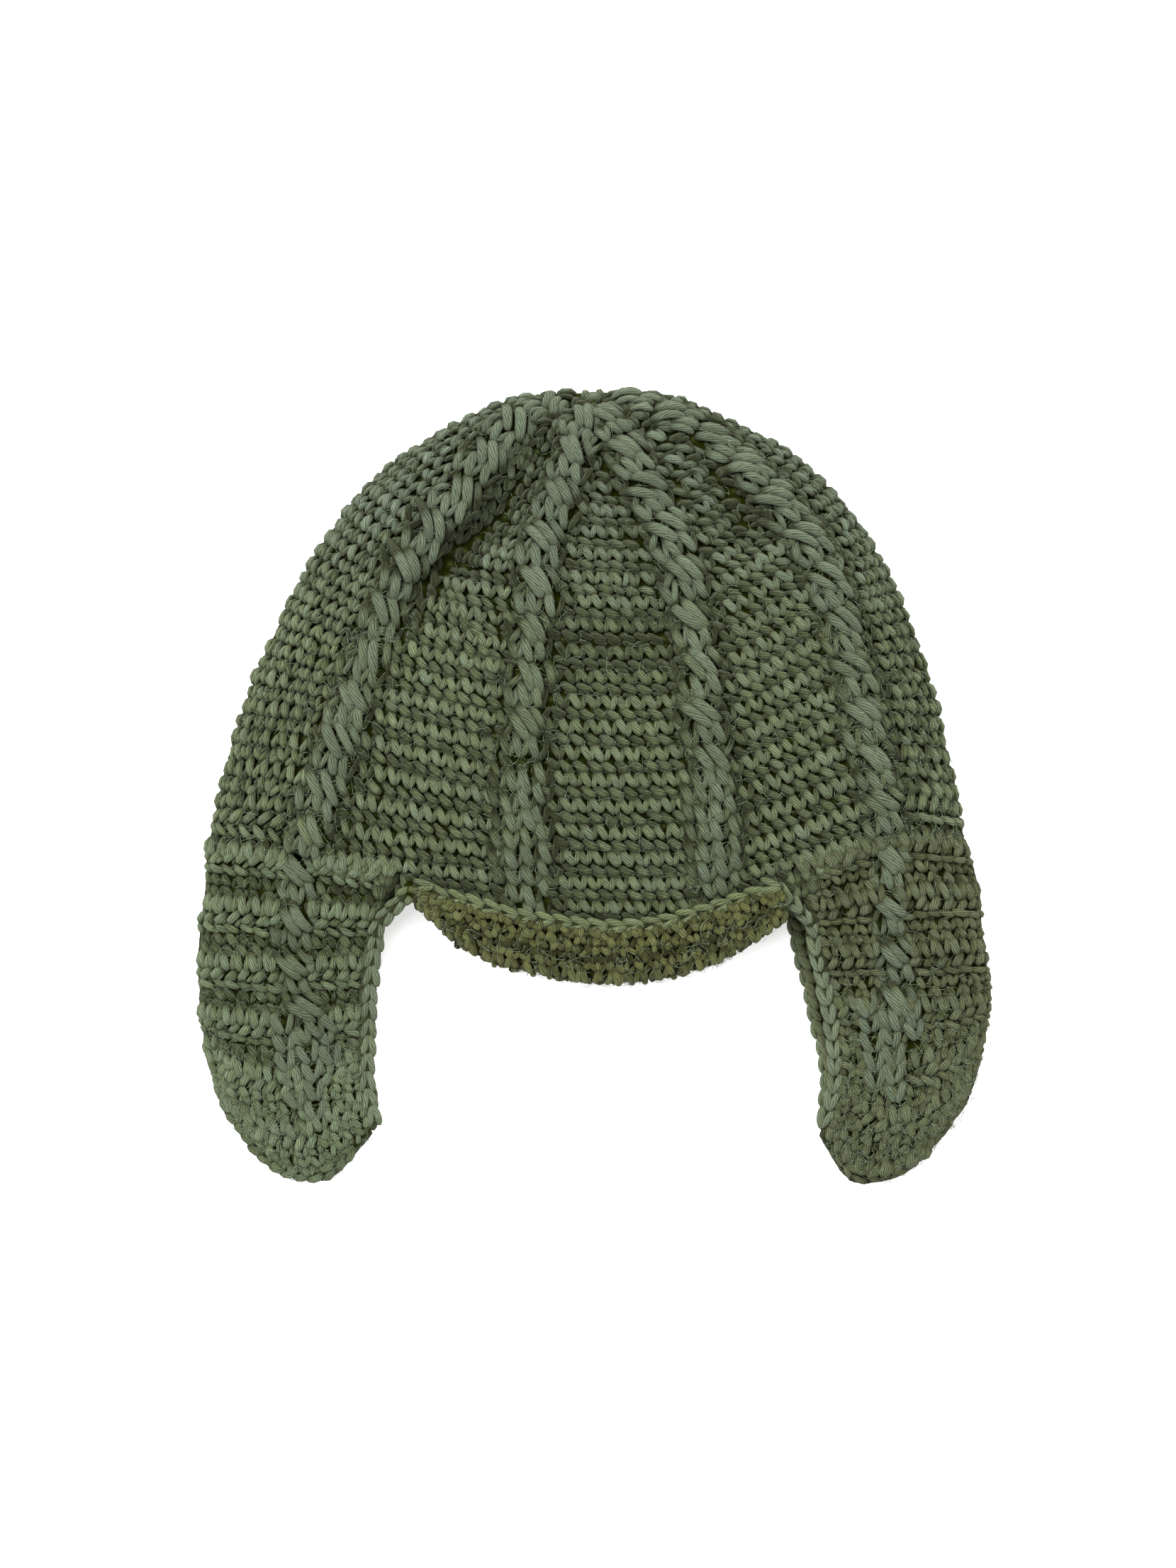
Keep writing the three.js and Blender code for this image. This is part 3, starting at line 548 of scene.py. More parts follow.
class Skein:
    """Strands gathered for one piece."""

    def __init__(self, seed):
        self.random = np.random.default_rng(seed)
        self.parts = []

    def lay(self, frames, paths, radius, painted_haze_share, painted_light, wander, broad=1.0):
        """Adds a strand for each frame, along three points in millimetres from it: (3, 3) or (n, 3, 3)."""
        n = len(frames.at)
        if not n:
            return
        paths = np.broadcast_to(paths, (n, 3, 3)).astype(float)
        paths = paths + self.random.normal(0, wander, (n, 1, 3))
        paths = paths + self.random.normal(0, wander * 0.6, (n, 3, 3))
        axes = np.stack([frames.across, frames.up, frames.out], axis=1)
        world = frames.at[:, None] + np.einsum("npi,nij->npj", paths, axes)
        girth = np.broadcast_to(radius, (n,)) * self.random.normal(1, 0.06, n)
        self.parts.append(
            {
                "path": world,
                "out": frames.out,
                "at": frames.at,
                "radius": girth,
                "broad": np.full(n, broad),
                "painted_haze_share": np.broadcast_to(painted_haze_share, (n,)) + self.random.normal(0, 0.07, n),
                "painted_light": np.broadcast_to(painted_light, (n,)).astype(float),
                "tone": self.random.random(n),
            }
        )

    def stitch(self, frames, kind, width, height, radius, painted_haze_share, painted_light, rise=0.0, wander=0.18):
        """Adds the strands of one kind of stitch at each frame."""
        n = len(frames.at)
        scale = np.stack([np.broadcast_to(size, (n,)) for size in (width, height, 1.0)], axis=-1)
        for *points, girth, broad in STITCHES[kind]:
            paths = np.array(points)[None] * scale[:, None]
            paths[..., 2] += rise
            self.lay(frames, paths, radius * girth, painted_haze_share, painted_light, wander, broad)

    def weave(self, name, strand):
        """Bends the strand along every path and joins them into one piece."""
        gathered = {key: np.concatenate([part[key] for part in self.parts]) for key in self.parts[0]}
        start, middle, end = np.moveaxis(gathered["path"], 1, 0)[:, :, None]
        bend = 2 * middle - (start + end) / 2
        s = strand.share[None, :, None]
        line = (1 - s) ** 2 * start + 2 * s * (1 - s) * bend + s**2 * end
        along = unit(2 * (1 - s) * (bend - start) + 2 * s * (end - bend))
        out = np.broadcast_to(gathered["out"][:, None], along.shape)
        side = unit(np.cross(along, out))
        other = np.cross(along, side)
        girth = gathered["radius"][:, None, None] * strand.girth[None, :, None]
        angle = strand.angle[None, :, None]
        broad = gathered["broad"][:, None, None]
        points = line + girth * (np.cos(angle) * side * broad + np.sin(angle) * other)
        height = np.einsum("nvi,ni->nv", points - gathered["at"][:, None], gathered["out"])
        length = np.linalg.norm(start - middle, axis=-1) + np.linalg.norm(middle - end, axis=-1)
        # Painted light of each point, from its height over the stitch's place: painted shade low down, a
        # painted highlight on top.
        values = {
            "painted_light": np.clip((height + gathered["painted_light"][:, None] - PAINTED_LIGHT_FROM) / PAINTED_LIGHT_SPAN, 0, 1.3),
            "painted_haze_share": np.broadcast_to(gathered["painted_haze_share"][:, None], height.shape),
            "tone": np.broadcast_to(gathered["tone"][:, None], height.shape),
        }
        points[..., 2] = np.where(points[..., 2] < 0, points[..., 2] * PRESSED, points[..., 2])
        plies = np.round(PLIES_PER_MM * gathered["radius"] * (1 + gathered["broad"]) / 2)
        return joined(name, strand, points * MM, plies, length[:, 0], values)


def joined(name, strand, points, plies, lengths, values):
    """One mesh of many copies of the strand, each with its own points."""
    count, per_copy = points.shape[:2]
    mesh = bpy.data.meshes.new(name)
    mesh.vertices.add(count * per_copy)
    mesh.vertices.foreach_set("co", points.astype(np.float32).ravel())
    corners = (strand.corners[None] + per_copy * np.arange(count)[:, None]).ravel()
    mesh.loops.add(len(corners))
    mesh.loops.foreach_set("vertex_index", corners.astype(np.int32))
    starts = np.concatenate([[0], np.cumsum(np.tile(strand.sizes, count))[:-1]])
    mesh.polygons.add(len(starts))
    mesh.polygons.foreach_set("loop_start", starts.astype(np.int32))
    uv = np.repeat(strand.uv[None], count, axis=0)
    uv[..., 0] *= plies[:, None]
    uv[..., 1] *= lengths[:, None]
    mesh.uv_layers.new(name="strand").data.foreach_set("uv", uv.astype(np.float32).ravel())
    for key, value in values.items():
        attribute = mesh.attributes.new(key, "FLOAT", "POINT")
        attribute.data.foreach_set("value", np.ascontiguousarray(value, np.float32).ravel())
    mesh.update(calc_edges=True)
    mesh.validate()
    mesh.shade_smooth()
    piece = bpy.data.objects.new(name, mesh)
    bpy.context.scene.collection.objects.link(piece)
    return piece


def finish(piece, material, slot, *nodes):
    """Gives a piece its material, and makes it ride and stand for its nodes."""
    piece.data.materials.clear()
    piece.data.materials.append(material)
    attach(piece, "root")
    if nodes:
        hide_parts(*nodes)


# Materials
class Value:
    """A socket that can be used in sums."""

    def __init__(self, maker, socket):
        self.maker = maker
        self.socket = socket

    def sum(self, operation, *others):
        inputs = dict(enumerate((self, *others)))
        return self.maker.node("ShaderNodeMath", {"operation": operation}, inputs)

    def __add__(self, other):
        return self.sum("ADD", other)

    __radd__ = __add__

    def __mul__(self, other):
        return self.sum("MULTIPLY", other)

    __rmul__ = __mul__

    def sine(self):
        return self.sum("SINE")

    def wave(self):
        """Rises and falls between 0 and 1, once for each 2 pi."""
        return self.sine() * 0.5 + 0.5

    def clamped(self):
        return self.maker.node("ShaderNodeClamp", {}, {0: self})

    def smooth(self, low, high):
        """0 below low and 1 above high."""
        settings = {"interpolation_type": "SMOOTHSTEP"}
        return self.maker.node("ShaderNodeMapRange", settings, {0: self, 1: low, 2: high})


class Maker:
    """Builds the nodes of one material."""

    def __init__(self, name):
        self.material = bpy.data.materials.new(name)
        self.material.use_nodes = True
        self.tree = self.material.node_tree
        self.shader = next(node for node in self.tree.nodes if node.type == "BSDF_PRINCIPLED")

    def node(self, kind, settings, inputs, output=0):
        node = self.tree.nodes.new(kind)
        for key, value in settings.items():
            setattr(node, key, value)
        for key, value in inputs.items():
            self.feed(node.inputs[key], value)
        return Value(self, node.outputs[output])

    def feed(self, socket, value):
        if isinstance(value, Value):
            self.tree.links.new(value.socket, socket)
        else:
            socket.default_value = value

    def attribute(self, name):
        return self.node("ShaderNodeAttribute", {"attribute_name": name}, {}, "Fac")

    def mix(self, share, first, second, blend="MIX"):
        settings = {"data_type": "RGBA", "blend_type": blend}
        return self.node("ShaderNodeMix", settings, {0: share, 6: first, 7: second}, 2)

    def noise(self, scale, vector, detail=2.0, roughness=0.5):
        inputs = {"Scale": scale, "Detail": detail, "Roughness": roughness, "Vector": vector}
        return self.node("ShaderNodeTexNoise", {"noise_dimensions": "3D"}, inputs, 0)

    def objects_place(self):
        return self.node("ShaderNodeTexCoord", {}, {}, "Object")


def rgb(color):
    return (*color, 1)


def yarn_material(name, yarn, tint):
    """Worsted wool: plies that twist round the strand, fine fibres, painted shade in the hollows and a
    painted hazy highlight on the crests.
    """
    maker = Maker(name)
    uv = maker.node("ShaderNodeUVMap", {"uv_map": "strand"}, {})
    around = maker.node("ShaderNodeSeparateXYZ", {}, {0: uv}, "X")
    along = maker.node("ShaderNodeSeparateXYZ", {}, {0: uv}, "Y")
    place = maker.objects_place()
    tone = maker.attribute("tone")
    twist = around + along * (1 / yarn.ply_pitch) + maker.noise(300, place, 2, 0.5) * 1.1
    ply = (twist * (2 * np.pi)).wave().smooth(0.02, 0.7)
    threads = maker.node("ShaderNodeCombineXYZ", {}, {0: twist * 1.6, 1: along * 0.25, 2: tone * 40})
    fibre = maker.noise(2.4, threads, 3, 0.65).smooth(0.3, 0.7)
    patches = maker.noise(28, place, 2, 0.5)
    grain = maker.noise(420, place, 2, 0.6)
    painted_light = maker.attribute("painted_light")
    painted_haze_share = maker.attribute("painted_haze_share")
    # Painted shade in the hollows where the painted light is low, and a painted highlight on the crests where
    # it is high.
    height = painted_light.smooth(0.3, 0.9)
    painted_highlight = painted_light.smooth(0.45, 1.15)
    color = maker.mix(height, rgb(yarn.painted_shade), rgb(yarn.body))
    # A bluer painted hazy sheen on raised yarn and on the crests.
    share = painted_haze_share * height * (0.5 + patches) + painted_highlight * 0.55
    color = maker.mix(share.clamped(), color, rgb(yarn.painted_haze_color))
    # Painted shade in the ply and fibre grooves and on the strands' sides, and a painted highlight on the
    # crests; tone, patches and grain are the yarn's own uneven tone.
    light = (0.12 + ply * 0.65 + fibre * 0.7) * (0.84 + tone * 0.3) * (0.82 + patches * 0.36)
    light = light * (0.9 + grain * 0.2) * (0.6 + painted_highlight * 0.92)
    shade = maker.node("ShaderNodeCombineColor", {}, dict(enumerate(light * share for share in tint)))
    color = maker.mix(1.0, color, shade, "MULTIPLY")
    relief = ply * 0.6 + fibre * 0.7 + grain * 0.15
    bump = maker.node("ShaderNodeBump", {}, {"Strength": 0.8, "Distance": 0.0006, "Height": relief})
    maker.feed(maker.shader.inputs["Base Color"], color)
    maker.feed(maker.shader.inputs["Normal"], bump)
    maker.shader.inputs["Roughness"].default_value = 0.95
    maker.shader.inputs["Specular IOR Level"].default_value = 0.12
    maker.shader.inputs["Sheen Weight"].default_value = yarn.sheen
    maker.shader.inputs["Sheen Roughness"].default_value = 0.45
    glow = [share * part for share, part in zip((0.8, 0.9, 0.62), tint)]
    maker.shader.inputs["Sheen Tint"].default_value = rgb(glow)
    return maker.material


BACKING_ROW = 4.1


def painted_shade_backing_material(name, yarn):
    """The wrong side and the depths between stitches: rows of small bumps, painted dark as shade."""
    maker = Maker(name)
    place = maker.objects_place()
    x = maker.node("ShaderNodeSeparateXYZ", {}, {0: place}, "X")
    y = maker.node("ShaderNodeSeparateXYZ", {}, {0: place}, "Y")
    bend = maker.noise(30, place, 1, 0.5)
    columns = (x * (2 * np.pi / (STITCH_WIDTH * MM)) + bend * 4).wave()
    rows = (y * (2 * np.pi / (BACKING_ROW * MM)) + bend * 4).wave()
    grain = maker.noise(500, place, 3, 0.6)
    relief = columns * rows
    color = maker.mix(relief * 0.4, rgb(yarn.painted_shade), rgb(yarn.body))
    # Painted shade: dark overall and darker between the bumps, as the depths between stitches are in shade.
    light = 0.3 + relief * 0.4 + grain * 0.3
    shade = maker.node("ShaderNodeCombineColor", {}, {0: light, 1: light, 2: light})
    color = maker.mix(1.0, color, shade, "MULTIPLY")
    inputs = {"Strength": 0.8, "Distance": 0.0016, "Height": relief + grain * 0.25}
    maker.feed(maker.shader.inputs["Base Color"], color)
    maker.feed(maker.shader.inputs["Normal"], maker.node("ShaderNodeBump", {}, inputs))
    maker.shader.inputs["Roughness"].default_value = 1.0
    maker.shader.inputs["Specular IOR Level"].default_value = 0.0
    return maker.material


def floor_material(name, color, roughness, glow):
    maker = Maker(name)
    place = maker.objects_place()
    cloud = maker.noise(3, place, 2, 0.5)
    maker.feed(maker.shader.inputs["Base Color"], maker.mix(cloud * 0.03, rgb(color), (1, 1, 1, 1)))
    maker.shader.inputs["Roughness"].default_value = roughness
    # The glow is painted light that pales the shadows on the floor.
    maker.shader.inputs["Emission Color"].default_value = (1, 1, 1, 1)
    maker.shader.inputs["Emission Strength"].default_value = glow
    return maker.material


def yarn_of(context, name):
    """The wool of that name, made when it is first asked for."""
    return bpy.data.materials.get(name) or yarn_material(name, context.scene.cap_yarn, TINTS_AND_PAINTED_LIGHT[name])


# Properties
class CapYarn(bpy.types.PropertyGroup):
    """The yarn and how it is worked."""

    radius: FloatProperty(
        name="Yarn radius", description="Half the yarn's thickness", default=YARN_RADIUS * MM, unit="LENGTH"
    )
    stitch_width: FloatProperty(
        name="Stitch width", description="Width of one stitch", default=STITCH_WIDTH * MM, unit="LENGTH"
    )
    ply_pitch: FloatProperty(
        name="Ply pitch",
        description="Millimetres of yarn in which one ply gives way to the next",
        default=1.9,
    )
    sheen: FloatProperty(name="Sheen", description="Soft light of the fuzz on the yarn", default=0.2)
    # Painted shade: the colour of yarn deep between stitches, where little light reaches.
    painted_shade: FloatVectorProperty(
        name="Hollows",
        description="Yarn deep between stitches",
        subtype="COLOR",
        default=(0.023, 0.028, 0.003),
    )
    body: FloatVectorProperty(
        name="Body",
        description="Yarn of the panels",
        subtype="COLOR",
        default=(0.091, 0.109, 0.032),
    )
    # Painted sheen: the bluer, paler colour of raised, fuzzy yarn where light catches its fuzz.
    painted_haze_color: FloatVectorProperty(
        name="Haze",
        description="Raised, fuzzy yarn",
        subtype="COLOR",
        default=(0.087, 0.111, 0.076),
    )
    fibres: IntProperty(name="Fibres", description="Loose fibres that stand off the yarn", default=9000)
    seed: IntProperty(name="Seed", description="Seed of the small irregularities", default=11)


class CapStage(bpy.types.PropertyGroup):
    """The floor, the light and the camera."""

    floor_color: FloatVectorProperty(
        name="Floor", description="Colour of the floor", subtype="COLOR", default=(0.93, 0.93, 0.92)
    )
    camera_height: FloatProperty(
        name="Camera height", description="Height of the camera over the floor", default=1.5, unit="LENGTH"
    )
    frame_height: FloatProperty(
        name="Frame height", description="Height of the picture at the folds", default=0.5198, unit="LENGTH"
    )
    key_power: FloatProperty(name="Key light", description="Power of the soft light in watts", default=44.0)
    fill: FloatProperty(name="Fill", description="Strength of the light from all round", default=0.8)


# Backing. How far it lies inside its solid: at the outline, where it faces up, and on the floor.
IN_FROM_OUTLINE = 1.0
IN_FROM_FRONT = 2.3
IN_FROM_FLOOR = 2.2
NEAR_FLOOR = 4
# How far the crown's lies under the surface of the stitches, outside and inside.
UNDER_STITCHES = 1.9
INSIDE_UNDER_STITCHES = 3.0
SETTLE_REACH = 3.5


def settle_under_yarn(shape):
    """Draws the front of the crown's backing down to just under the surface that the stitches lie on."""
    k, t = places_over((0.15, 4.85), 180, (0.04, 1.12), 160)
    points = crown_front(k, t) * MM
    tree = KDTree(len(points))
    for index, point in enumerate(points):
        tree.insert((point[0], point[1], 0), index)
    tree.balance()
    for vert in shape.verts:
        if vert.co.z < (FOLD_Z + 1) * MM:
            continue
        near = tree.find_range((vert.co.x, vert.co.y, 0), SETTLE_REACH * MM)
        if near:
            below = UNDER_STITCHES if vert.normal.z > 0 else INSIDE_UNDER_STITCHES
            lowest = min(points[index][2] for _, index, _ in near)
            vert.co.z = min(vert.co.z, lowest - below * MM)


def backing_piece(node):
    """A thinner, rounder copy of a node's solid, for the stitches to lie on."""
    name = f"{node}_backing"
    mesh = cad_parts[node].data.copy()
    mesh.name = name
    shape = bmesh.new()
    shape.from_mesh(mesh)
    bmesh.ops.remove_doubles(shape, verts=shape.verts, dist=1e-6)
    shape.normal_update()
    bmesh.ops.subdivide_edges(shape, edges=shape.edges, cuts=1, use_grid_fill=True)
    shape.normal_update()
    for vert in shape.verts:
        on_floor = vert.normal.z < -0.4 and vert.co.z < NEAR_FLOOR * MM
        lean = vert.normal.z
        if node == "front_brim":
            lean = min(1.2, lean * 2 + 1)
        depth = IN_FROM_OUTLINE + (IN_FROM_FRONT - IN_FROM_OUTLINE) * max(0, lean)
        vert.co -= vert.normal * (IN_FROM_FLOOR if on_floor else depth) * MM
    if node == "crown":
        settle_under_yarn(shape)
    bmesh.ops.smooth_vert(
        shape, verts=shape.verts, factor=0.3, use_axis_x=True, use_axis_y=True, use_axis_z=True
    )
    shape.to_mesh(mesh)
    shape.free()
    mesh.shade_smooth()
    piece = bpy.data.objects.new(name, mesh)
    bpy.context.scene.collection.objects.link(piece)
    return piece


class CAP_OT_backing(bpy.types.Operator):
    """Makes the backings under the stitches of the crown, the brim and the flaps."""

    bl_idname = "cap.backing"
    bl_label = "Backing"

    def execute(self, context):
        material = painted_shade_backing_material("wool_backing_painted_shade", context.scene.cap_yarn)
        for node, slot in (
            ("crown", "crown_yarn"),
            ("front_brim", "brim_yarn"),
            ("earflap_left", "flap_yarn"),
            ("earflap_right", "flap_yarn"),
        ):
            finish(backing_piece(node), material, slot, node)
        return {"FINISHED"}


# Stitches of the crown
CROWDED = 0.34
OUTER_PANELS = (0, 4)
# Rows that fill gaps in a panel: from and to along it, how many stitches, and t.
FILLERS = {
    1: ((1.24, 1.6, 5, 1.02), (1.4, 1.58, 3, 1.05)),
    2: ((1.6, 3.4, 6, 0.012), (2.3, 2.7, 3, 0.04), (2.35, 2.65, 3, 0.07)),
    3: ((3.32, 3.66, 5, 1.02), (3.36, 3.52, 3, 1.05)),
}
OUTER_ROWS = ("tall", "short", "braid", "sunk")
OUTER_ROWS_FROM = 0.92
GATHERED_TO = 0.42
# Painted shade, as millimetres of depth: how much darker stitches look under the brim's edge, on the top, in
# the outer panels, in sunk rows, beside the cables and, by FOLD_SHADE, in the folds.
SHADED_BY_BRIM = 0.9
SHADED_ON_TOP = 0.25
SHADED_OUTSIDE = 0.3
SHADED_IN_ROWS = 0.35
SHADED_BY_CABLE = 0.7
FOLD_SHADE = 0.26
NO_BRIM = 9


def crown_kind(panel, row, t):
    """The kind of stitch of a row: ridged at the sides of the rim, gathered beside the deep crease."""
    if panel in OUTER_PANELS:
        return ("fan", "star")[row % 2] if t < OUTER_ROWS_FROM else OUTER_ROWS[(row + 3) % 4]
    if panel == 1 and t < GATHERED_TO:
        return "star"
    return ("slant", "lying")[row % 2]


def crown_shade(frames, panel, kind, u, t):
    """The painted shade of each stitch of a row: how much darker it looks."""
    edge = np.interp(u, BRIM_K, BRIM_EDGE, left=NO_BRIM, right=NO_BRIM)
    shade = SHADED_BY_BRIM * step(-0.06, 0, t - edge) + SHADED_ON_TOP * step(50, 125, frames.at[:, 1])
    shade += SHADED_OUTSIDE if panel in OUTER_PANELS else 0
    shade += SHADED_IN_ROWS if kind in ("lying", "sunk") else 0
    shade[0] += SHADED_BY_CABLE if panel > 0 else 0
    shade[-1] += SHADED_BY_CABLE if panel < 4 else 0
    return shade


def crown_row(surface, k0, panel, t, width, cabled):
    """Stitches of one row of one panel: their places and width."""
    corners = surface.point(np.array([k0, k0 + 1.0]), np.array([t, t]))
    spacing = np.linalg.norm(corners[1] - corners[0])
    aside = min(CABLE_HALF_WIDTH - 2.0, CROWDED * spacing * 0.75)
    left = aside if cabled and panel > 0 else 0
    right = aside if cabled and panel < 4 else 0
    return surface.row(k0, k0 + 1, t, width, (left, right))


def painted_haze_on_crown(frames):
    """The top of the crown gets more of the bluer painted hazy sheen than its lower part."""
    return 0.15 + 0.9 * step(40, 120, frames.at[:, 1])


class CAP_OT_crown(bpy.types.Operator):
    """Works the crown's front in rows of stitches between the cables."""

    bl_idname = "cap.crown"
    bl_label = "Crown stitches"

    def execute(self, context):
        yarn = context.scene.cap_yarn
        material = yarn_of(context, "wool_crown")
        strand = Strand(6, 5)
        for name, panels in (("crown_side_stitches", (0, 1, 4)), ("crown_middle_stitches", (2, 3))):
            skein = Skein(yarn.seed + panels[0])
            for panel in panels:
                self.work(skein, panel, yarn)
            finish(skein.weave(name, strand), material, "crown_yarn")
        return {"FINISHED"}

    def work(self, skein, panel, yarn):
        """The rows of one panel, from the pole down, and its fillers."""
        radius = yarn.radius / MM
        for row in range(CROWN_ROWS):
            t = (row + 0.5) / ROWS_TO_RIM
            u, width = crown_row(CROWN_FRONT, panel, panel, t, yarn.stitch_width / MM, True)
            if t > 1:
                u = u[t < np.interp(u, BRIM_K, BRIM_EDGE, left=0, right=0) + 0.03]
            if not len(u):
                continue
            shift = 0.5 * width / 60 if row % 4 > 1 else 0
            frames = CROWN_FRONT.frames(u + shift, np.full_like(u, t))
            height = frames.pitch / ROWS_TO_RIM
            # Painted shade in the folds and creases, and more where crown_shade paints it.
            painted_shade = np.clip(fold_relief(*frames.at[:, :2].T) * FOLD_SHADE, -1.2, 0)
            kind = crown_kind(panel, row, t)
            painted_light = painted_shade - crown_shade(frames, panel, kind, u, t)
            wander = 0.3 if kind in ("fan", "star") else 0.2
            skein.stitch(frames, kind, width, height, radius, painted_haze_on_crown(frames), painted_light, 0, wander)
        for first, last, count, t in FILLERS.get(panel, ()):
            u = np.linspace(first, last, count)
            frames = CROWN_FRONT.frames(u, np.full_like(u, t))
            skein.stitch(frames, "tall", 4.4, 5.0, radius, painted_haze_on_crown(frames), -0.2, -0.6)


def side_columns(skein, line, inwards, levels, radius):
    """Columns of stitches on the steep side under a fold: each a share of its height, and how far in."""
    inner = beside(np.gradient(line, axis=0), inwards)
    for share, inset in levels:
        at = line + inner * inset
        at[:, 2] *= share
        skein.stitch(chain_frames(at, -inner, 4.6), "star", 4.4, 4.8, radius, 0.2, -0.1)


class CAP_OT_crown_back(bpy.types.Operator):
    """Works the back of the crown, which lies on the floor, in plain rows."""

    bl_idname = "cap.crown_back"
    bl_label = "Crown back stitches"

    def execute(self, context):
        yarn = context.scene.cap_yarn
        radius = yarn.radius / MM
        skein = Skein(yarn.seed + 20)
        for panel in range(5):
            for row in range(BACK_ROWS):
                t = (row + 0.5) / ROWS_TO_RIM
                u, width = crown_row(CROWN_BACK, 5 + panel, panel, t, yarn.stitch_width / MM, False)
                u = u[t < np.interp(u, RIM_K, RIM_T)] if len(u) else u
                if not len(u):
                    continue
                frames = CROWN_BACK.frames(u, np.full_like(u, t))
                height = frames.pitch / ROWS_TO_RIM
                skein.stitch(frames, "plain", width, height, radius, 0.2, 0.6, -0.45, 0.1)
        t = np.linspace(0.03, 1.0, 60)
        for fold, inwards in ((0, 1), (5, -1)):
            line = crown_front(np.full_like(t, fold), t)
            side_columns(skein, line, inwards, ((0.72, 1.9), (0.34, 2.6)), radius)
        piece = skein.weave("crown_back_stitches", Strand(5, 4))
        finish(piece, yarn_of(context, "wool_crown"), "crown_yarn")
        return {"FINISHED"}


# Cables
def along_cable(cable, start, end, pitch, ahead=0.0):
    """Frames down a front cable, a pitch apart."""
    t = np.linspace(start, end, 300)
    points = crown_front(np.full_like(t, cable), t)
    run = run_along(points)
    at = np.interp(np.arange(ahead, run[-1], pitch), run, t)
    return CABLE_WAY.frames(np.full_like(at, cable), at)


def along_path(surface, path, pitch, ahead=0.0):
    """Frames along a path of x, y points on a surface."""
    u, v = places_over((0, 1), 90, (0, 1), 160)
    dense = dense_line(path, 120)
    run = run_along(dense)
    stations = np.arange(ahead, run[-1], pitch)
    spots = read_off(dense, run, stations)
    nearest = nearest_of(surface.point(u, v), spots)
    frames = surface.frames(u[nearest], v[nearest])
    up = np.zeros_like(frames.at)
    up[:, :2] = spots - read_off(dense, run, stations + 1)
    at = frames.at.copy()
    at[:, :2] = spots
    return Frames(at, up, frames.out, np.ones(len(at)))


def nearest_of(points, spots):
    """For each spot, which of the points lies nearest to it as seen from above."""
    return np.argmin(np.linalg.norm(points[None, :, :2] - spots[:, None, :2], axis=-1), axis=1)


def rib(x):
    """How far the cable's rib falls away beside its middle."""
    return CABLE_RISE * (np.maximum(0, 1 - (x / CABLE_HALF_WIDTH) ** 2) ** 1.2 - 1)


def ribbed(points, narrow):
    """Three points of a strand on the rib, for each frame."""
    paths = np.repeat(np.array(points, float)[None], len(narrow), axis=0)
    paths[..., 0] *= narrow[:, None]
    paths[..., 2] += rib(paths[..., 0])
    return paths


FREE_FALL = 1.0
MOST_DRAPED = 7
RIB_SHADE = 0.55


def draped(frames, paths):
    """Lets strands over the crown's front fall with it where it drops away beside their frames."""
    ground = crown_front(*places_over((0, 5), 200, (0.01, 1.1), 160))
    axes = np.stack([frames.across, frames.up], axis=1)
    level = frames.at[:, None] + np.einsum("npi,nij->npj", paths[..., :2], axes)
    fall = np.zeros(paths.shape[:2])
    for row, spots in enumerate(level):
        fall[row] = spots[:, 2] - ground[nearest_of(ground, spots), 2]
    paths[..., 2] -= np.clip(fall + rib(paths[..., 0]) - FREE_FALL, 0, MOST_DRAPED)
    return paths


def crossings(skein, frames, radius, painted_haze_share, narrow, on_crown=False):
    """Crossed bundles, then a row of legged stitches under each crossing."""
    turned = frames.turned(skein.random.normal(0, 0.12, len(frames.at)))
    for *points, girth, broad in CABLE_CROSSED:
        # Painted shade on the sides of the cable's rib.
        level = -0.45 - rib(points[1][0]) * RIB_SHADE
        paths = ribbed(points, narrow)
        if on_crown:
            paths = draped(turned, paths)
        skein.lay(turned, paths, radius * girth * thinned(narrow), painted_haze_share, level, 0.4, broad)
    for x in CABLE_COLUMNS:
        legs(skein, frames, x, radius, painted_haze_share, narrow, 0.0)


def legs(skein, frames, x, radius, painted_haze_share, narrow, down):
    """A stitch of two legs: a full one that leans down to the right, and a thin one that meets it."""
    sway = skein.random.normal(0, 0.5, (len(frames.at), 1, 2))
    # Painted shade on the sides of the cable's rib.
    level = -0.35 - rib(x) * RIB_SHADE
    for *points, girth, broad in CABLE_LEGGED:
        paths = ribbed(np.array(points) + (x, down, 0), narrow)
        paths[..., :2] += sway
        skein.lay(frames, paths, radius * girth * thinned(narrow), painted_haze_share, level, 0.2, broad)


def thinned(narrow):
    """Narrower cables also have thinner strands."""
    return 0.5 + 0.5 * narrow


POLE = RING_POINTS[0, 0]
WIDEST = 0.93
FLAP_NARROW = 0.85


def narrowed(frames, least, slope):
    """The share of its width that a cable keeps near the pole, where the cables crowd each other."""
    away = np.hypot(*(frames.at[:, :2] - POLE).T)
    return np.clip(least + away / slope, least, WIDEST)


# For each cable of the crown, how narrow it gets at the pole, and in how many millimetres it widens.
NARROWING = {1: (0.55, 60), 2: (0.55, 60), 3: (0.55, 60), 4: (0.4, 115)}
# The t that the crossings reach, and where columns of V's run on to the brim beside the middle.
CROSSED_TO = {1: 1.0, 2: 0.78, 3: 0.8, 4: 1.0}
VEES = {2: (-7.6, -2.6, 2.6, 7.4), 3: (-7.4, -2.5, 2.5, 7.2)}
VEES_TO = 1.07
# Each flap's cable and the columns of loops that it ends in, as x, y.
FLAP_CABLES = {
    "left": [(-97.5, -27), (-97.5, -38), (-98.5, -50), (-98, -65), (-92.5, -79)],
    "right": [(97.5, -23), (97.5, -36), (98.5, -50), (100, -63), (100, -74)],
}
FLAP_LOOPS = {
    "left": [
        [(-103, -76), (-101, -92), (-97, -107)],
        [(-96.5, -80), (-93, -94), (-92, -108)],
        [(-89, -80), (-86, -92)],
    ],
    "right": [
        [(90, -70), (92, -84), (94, -102)],
        [(97.5, -74), (99, -88), (100, -104)],
        [(104.5, -72), (107, -86)],
    ],
}


